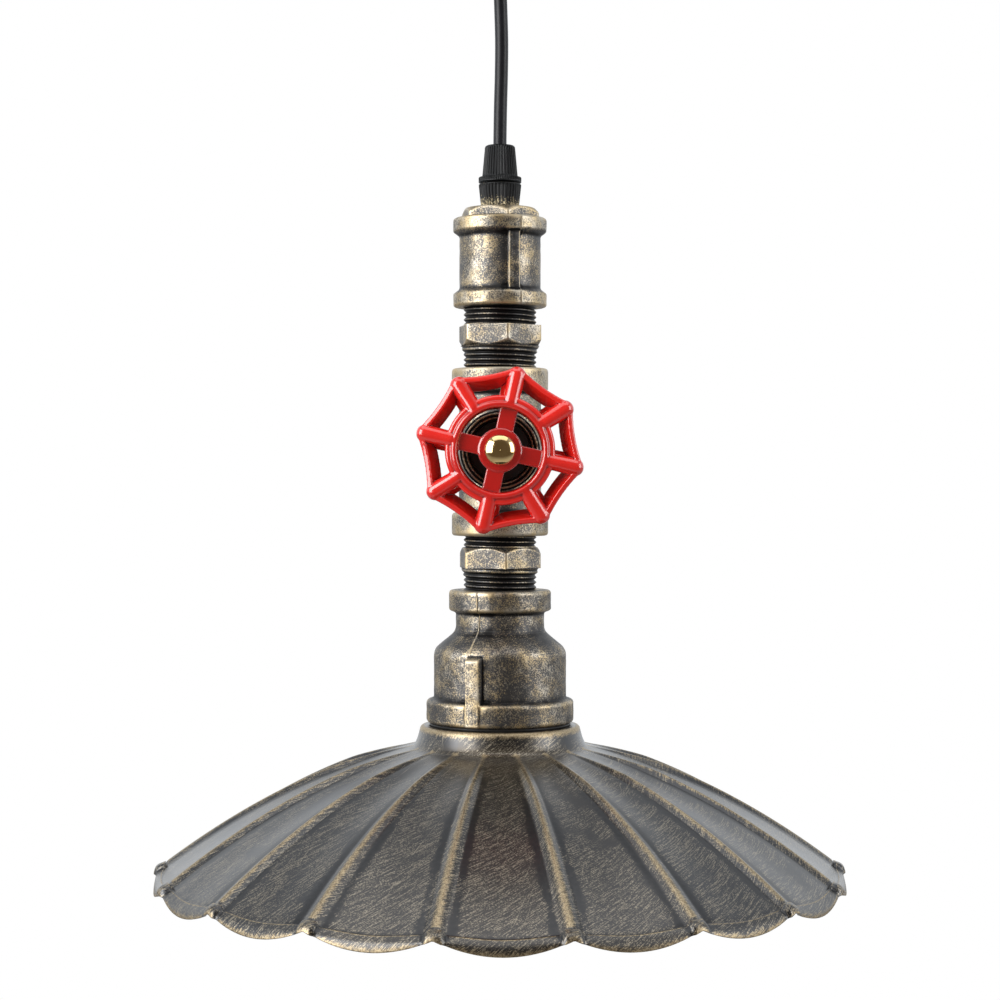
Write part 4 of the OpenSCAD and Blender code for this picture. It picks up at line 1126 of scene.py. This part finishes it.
def shade_rows(drop):
    """Rings of one face of the sheet, from the hole in the collar to the edge of the lip."""
    rings = [ring_at(SHADE_HOLE_R, collar_z - drop)]
    wear_and_light_rows = [0 * share]
    for beyond, below, wear in COLLAR_RINGS:
        radius = COLLAR_TOP_R + beyond - drop * (below > 0.1)
        rings.append(ring_at(radius, collar_z - below - drop * (below < 0.7)))
        wear_and_light_rows.append(wear + 0 * share)
    steps = np.append(np.linspace(0, 1, PANEL_ROWS + 1)[:-1], [1 - 1.0 / PANEL_SPAN, 1 - 0.4 / PANEL_SPAN, 1])
    for t in steps:
        radius = COLLAR_FOOT_R + PANEL_SPAN * t
        fall = SHADE_SLOPE * PANEL_SPAN * t + (SHADE_FALL - SHADE_SLOPE * PANEL_SPAN) * t**2
        groove = GROOVE * np.clip(1 - (1 - t) * PANEL_SPAN / 0.8, 0, 1)
        crest = ridge(radius)
        amount = min(1.0, 3.5 * t)
        rings.append(ring_at(radius, panel_z - fall - drop + amount * (RIDGE_H * crest - sag()) - groove))
        # Gold on the ridge crests, lowered by painted shade in the valleys beside them; the groove of the
        # crease is held dark as painted shade.
        worn_and_shaded = crest * min(1.0, 0.7 + 0.6 * t) - 0.55 * valley_shade(radius) * min(1.0, 2 * t)
        worn_and_shaded = worn_and_shaded + 0.45 * max(0.0, 1 - t / 0.05)
        wear_and_light_rows.append(np.where(groove > 0.1, np.minimum(worn_and_shaded, 0.5 * crest - 0.3), worn_and_shaded))
    edge_z = panel_z - SHADE_FALL
    box = nose()
    for t in LIP_STEPS:
        out = LIP_INSET * math.sin(t * math.pi / 2)
        radius = CREASE_R - drop * t + out + 0.6 * RIDGE_H * box * t
        height = edge_z - sag() - drop * (1 - t) + (sag() - lip_drop()) * t ** 1.15
        rings.append(ring_at(radius, height + RIDGE_H * box * (1 - t**3)))
        # The crease gets a thin painted highlight with a painted shadow line under it, and painted shade
        # falls beside each ridge's boxy end.
        line = 0.85 * (t < 0.11) - 0.45 * (0.15 < t < 0.45)
        edge_wear = max(0.0, t - 0.4) * 1.8
        side = np.exp(-((np.abs(share) * RIM_R * pitch - NOSE_HALF - 0.8) / 0.9) ** 2)
        wear_and_light_rows.append(np.clip(np.maximum(box * 0.6, line + edge_wear) - 0.9 * side, -1, 1))
    return rings, wear_and_light_rows


outer, outer_wear_and_light = shade_rows(0.0)
inner, inner_wear_and_light = shade_rows(SHADE_T)
shade_grid = np.array(outer + inner[::-1]) * MM
shade = skin("umbrella_shade", shade_grid, FINISHES["shade_bronze"])
store_mark(shade, "wear", np.array(outer_wear_and_light + [INNER_WEAR_AND_LIGHT * w for w in inner_wear_and_light[::-1]]))

# %% Brush strokes
BRUSH_SEED, BRUSH_TILT, BRUSH_LEAN, BRUSH_WANDER, PANEL_SHIFT = 5, 42, 0.5, 6, 3.7
panel = np.floor(panel_number + share).astype(int) % PANELS
panel_turn = (panel + 0.5) * 360 / PANELS + SHADE_TURN
panel_turn = (panel_turn + 180) % 360 - 180
draw = np.random.default_rng(BRUSH_SEED)
wander = draw.uniform(-BRUSH_WANDER, BRUSH_WANDER, PANELS)[panel]
tilt = np.radians(BRUSH_TILT - BRUSH_LEAN * np.clip(panel_turn, -90, 90) + wander)
flat = shade_grid.reshape(-1, 3)
radius_m = np.linalg.norm(flat[:, :2], axis=1)
rows = len(shade_grid)
across = np.tile((share % 1.0) * pitch, rows) * radius_m
tilts = np.tile(tilt, rows)
steps = np.linalg.norm(np.diff(shade_grid, axis=0), axis=2).mean(axis=1)
along = np.repeat(np.append(0, np.cumsum(steps)), len(share))
brush = np.stack([
    across * np.cos(tilts) - along * np.sin(tilts), across * np.sin(tilts) + along * np.cos(tilts),
    np.tile(panel * PANEL_SHIFT, rows)], axis=-1)
brushed = shade.data.attributes.new("brush", "FLOAT_VECTOR", "POINT")
brushed.data.foreach_set("vector", brush.astype(np.float32).ravel())
facing_view = np.tile(np.cos(np.radians(panel_turn)) ** 2, rows)
near_rim = np.clip((radius_m / MM - COLLAR_FOOT_R) / PANEL_SPAN, 0, 1) ** 2
beyond_collar = np.clip((radius_m / MM - COLLAR_FOOT_R) / 2 + 1, 0, 1)
near_collar = np.exp(-np.clip(radius_m / MM - COLLAR_FOOT_R, 0, None) / 14) * beyond_collar
strokes = 0.22 + 0.55 * facing_view * (0.4 + 0.6 * beyond_collar)
strokes = strokes + 0.22 * near_rim + 0.40 * near_rim**4 + 0.35 * near_collar
store_mark(shade, "stroked", np.clip(strokes, 0, 1.2))
# Painted warm reflection: strongest near the collar on panels that face the viewer.
store_mark(shade, "warm", np.clip(1.4 * near_collar * facing_view + 0.35 * facing_view**3, 0, 1))
dress(shade, "shade")

# %% [markdown]
# ## Lampholder
# Under the shade a black lampholder passes through the collar, and a ring with finger ribs screws up its
# thread to clamp the sheet. Its brass shell is rolled into the coarse screw that takes a lamp. The threads of
# both are waves that climb as they go round.

# %% Lampholder and lower ring
HOLDER_R, HOLDER_CAP_R, HOLDER_DROP = 20.0, 11.6, 12.0
SHELL_R, SHELL_WALL = 13.3, 0.5
SHELL_OUT_R = SHELL_R + SHELL_WALL
HOLDER_PITCH, HOLDER_THREAD, LAMP_PITCH, LAMP_WAVE = 2.5, 0.6, 3.63, 0.4
holder_low, holder_high = span("lampholder")
insert_top = span("contact_base")[1]
thread_end = holder_high - HOLDER_DROP - 3


def holder_thread(turn, radius, height):
    wave = thread_wave(turn, height, HOLDER_PITCH)
    inside = within(height, holder_low + 0.8, thread_end, 0.8)
    return -HOLDER_THREAD * wave * inside * (radius > HOLDER_R - 0.3)


holder_profile = rounded([
    (STUD_HOLE_R, holder_high, 0), (STUD_HOLE_R, insert_top, 0), (SHELL_OUT_R, insert_top, 0),
    (SHELL_OUT_R, holder_low, 0.3), (HOLDER_R, holder_low, 0.8), (HOLDER_R, holder_high - HOLDER_DROP, 1.5),
    (HOLDER_CAP_R, holder_high, 0)])
turned("threaded_lampholder", "lampholder", holder_profile, 0.4, even_angles(160), holder_thread)

ring_low, ring_high = span("lower_shade_ring")
RING_R, RING_RIBS = 25.0, 72
ring_profile = rounded([
    (HOLDER_R + SLIP, ring_high, 0), (HOLDER_R + SLIP, ring_low, 0.3), (RING_R - 2, ring_low, 1),
    (RING_R, ring_high - 2.4, 0.5), (RING_R, ring_high, 0.3)])
ring_ribs = ribbed(ring_low + 0.8, ring_high - 1.2, HOLDER_R + 2, RING_RIBS)
turned("ribbed_shade_ring", "lower_shade_ring", ring_profile, 0.4, even_angles(8 * RING_RIBS), ring_ribs)


# %% Rolled screw shell
def rolled_screw(turn, radius, height):
    return LAMP_WAVE * (np.cos(2 * math.pi * height / LAMP_PITCH + turn) - 1)


shell_low, shell_high = span("screw_shell")
shell_profile = np.array(
    [(SHELL_R, shell_high), (SHELL_R, shell_low), (SHELL_OUT_R, shell_low), (SHELL_OUT_R, shell_high)])
turned("rolled_screw_shell", "screw_shell", shell_profile, 0.35, even_angles(128), rolled_screw)

# %% [markdown]
# ## Studio
# The picture has a pure white ground and soft light from both sides and above. The white is only seen by the
# camera and by reflections, so it adds no light. The ceiling and the room behind the camera are dimmer, which
# gives the metal its dark reflections. The floor lies far below, as the lamp would hang high in a room.

# %% Floor
FLOOR_Z, FLOOR_HALF = -2.20, 30.0
NEAR_FLOOR, FAR_FLOOR, NEAR_WHITE = 2.3, 2.7, 0.85
WHITE, FLOOR_GREY = (1, 1, 1, 1), (0.90, 0.90, 0.89, 1)
ROOM = (0.115, 0.095, 0.074, 1)
floor_mesh = bpy.data.meshes.new("floor")
floor_sides = [(-1, -1), (1, -1), (1, 1), (-1, 1)]
floor_corners = [(x * FLOOR_HALF, y * FLOOR_HALF, FLOOR_Z) for x, y in floor_sides]
floor_mesh.from_pydata(floor_corners, [], [(0, 1, 2, 3)])
floor = placed("floor", floor_mesh)

floor_finish = Finish("floor")
floor_finish.set(Base_Color=FLOOR_GREY, Roughness=0.9)
from_lamp = floor_finish.node("VectorMath", {"operation": "LENGTH"}, {0: floor_finish.place()}, out="Value")
whiteness = NEAR_WHITE + from_lamp.step(NEAR_FLOOR, FAR_FLOOR) * (1 - NEAR_WHITE)
seen = floor_finish.node("LightPath", out="Is Camera Ray") * whiteness
glow = floor_finish.node("Emission", None, {"Color": WHITE, "Strength": 1.0})
body = Signal(floor_finish, floor_finish.shader.outputs[0])
lit = floor_finish.node("MixShader", None, {0: seen, 1: body, 2: glow})
in_front = 0.0 - floor_finish.node("SeparateXYZ", None, {0: floor_finish.place()}, out="Y")
mirrored = floor_finish.node("LightPath", out="Is Glossy Ray") * in_front.step(0.9, 3.2)
dim = floor_finish.node("Emission", None, {"Color": ROOM, "Strength": 1.0})
shown = floor_finish.node("MixShader", None, {0: mirrored, 1: lit, 2: dim})
floor_finish.plug(floor_finish.tree.nodes["Material Output"].inputs["Surface"], shown)
floor_mesh.materials.append(floor_finish.material)
print("floor at", FLOOR_Z)

# %% World
SIDES, CEILING, AMBIENT = (0.93, 0.965, 1.0, 1), (0.52, 0.54, 0.57, 1), (0.40, 0.40, 0.41, 1)
world = bpy.data.worlds.new("studio")
bpy.context.scene.world = world
world.use_nodes = True
sky = Network(world.node_tree)
RAYS = ("Is Camera Ray", "Is Glossy Ray", "Is Transmission Ray")
by_camera, by_gloss, through = (sky.node("LightPath", out=ray) for ray in RAYS)
direct = (by_camera + by_gloss + through).step(0.2, 0.8)
direction = sky.node("TexCoord", out="Generated")
towards = sky.node("SeparateXYZ", None, {0: direction}, out="Y")
upwards = sky.node("SeparateXYZ", None, {0: direction}, out="Z")
walls = sky.mix(upwards.step(0.46, 0.84), SIDES, CEILING)
mirrored_room = sky.mix((0.0 - towards).step(0.10, 0.70), walls, ROOM)
seen_room = sky.mix(by_gloss, WHITE, mirrored_room)
background = sky.tree.nodes["Background"]
sky.plug(background.inputs["Color"], sky.mix(direct, AMBIENT, seen_room))
background.inputs["Strength"].default_value = 1.0
print("world", world.name)

# %% Lamps
MIDDLE = Vector((0, 0, -0.24))


def softbox(name, place, size, power):
    """A rectangle of light that faces the middle of the lamp."""
    light = bpy.data.lights.new(name, "AREA")
    light.shape = "RECTANGLE"
    light.size, light.size_y = size
    light.energy = power
    lamp = placed(name, light)
    lamp.location = place
    lamp.rotation_euler = (MIDDLE - Vector(place)).to_track_quat("-Z", "Y").to_euler()
    print(name, power, "W")


softbox("left_softbox", place=(-0.95, -0.65, 0.10), size=(0.75, 1.1), power=18.5)
softbox("right_softbox", place=(1.05, -0.45, 0.05), size=(0.5, 0.9), power=6)
softbox("top_softbox", place=(0.0, -0.2, 0.95), size=(1.5, 1.2), power=7.5)
bpy.context.scene.view_settings.view_transform = "Standard"

# %% [markdown]
# ## Last step
# Last the view layer is brought up to date.

# %% Update the view layer
bpy.context.view_layer.update()
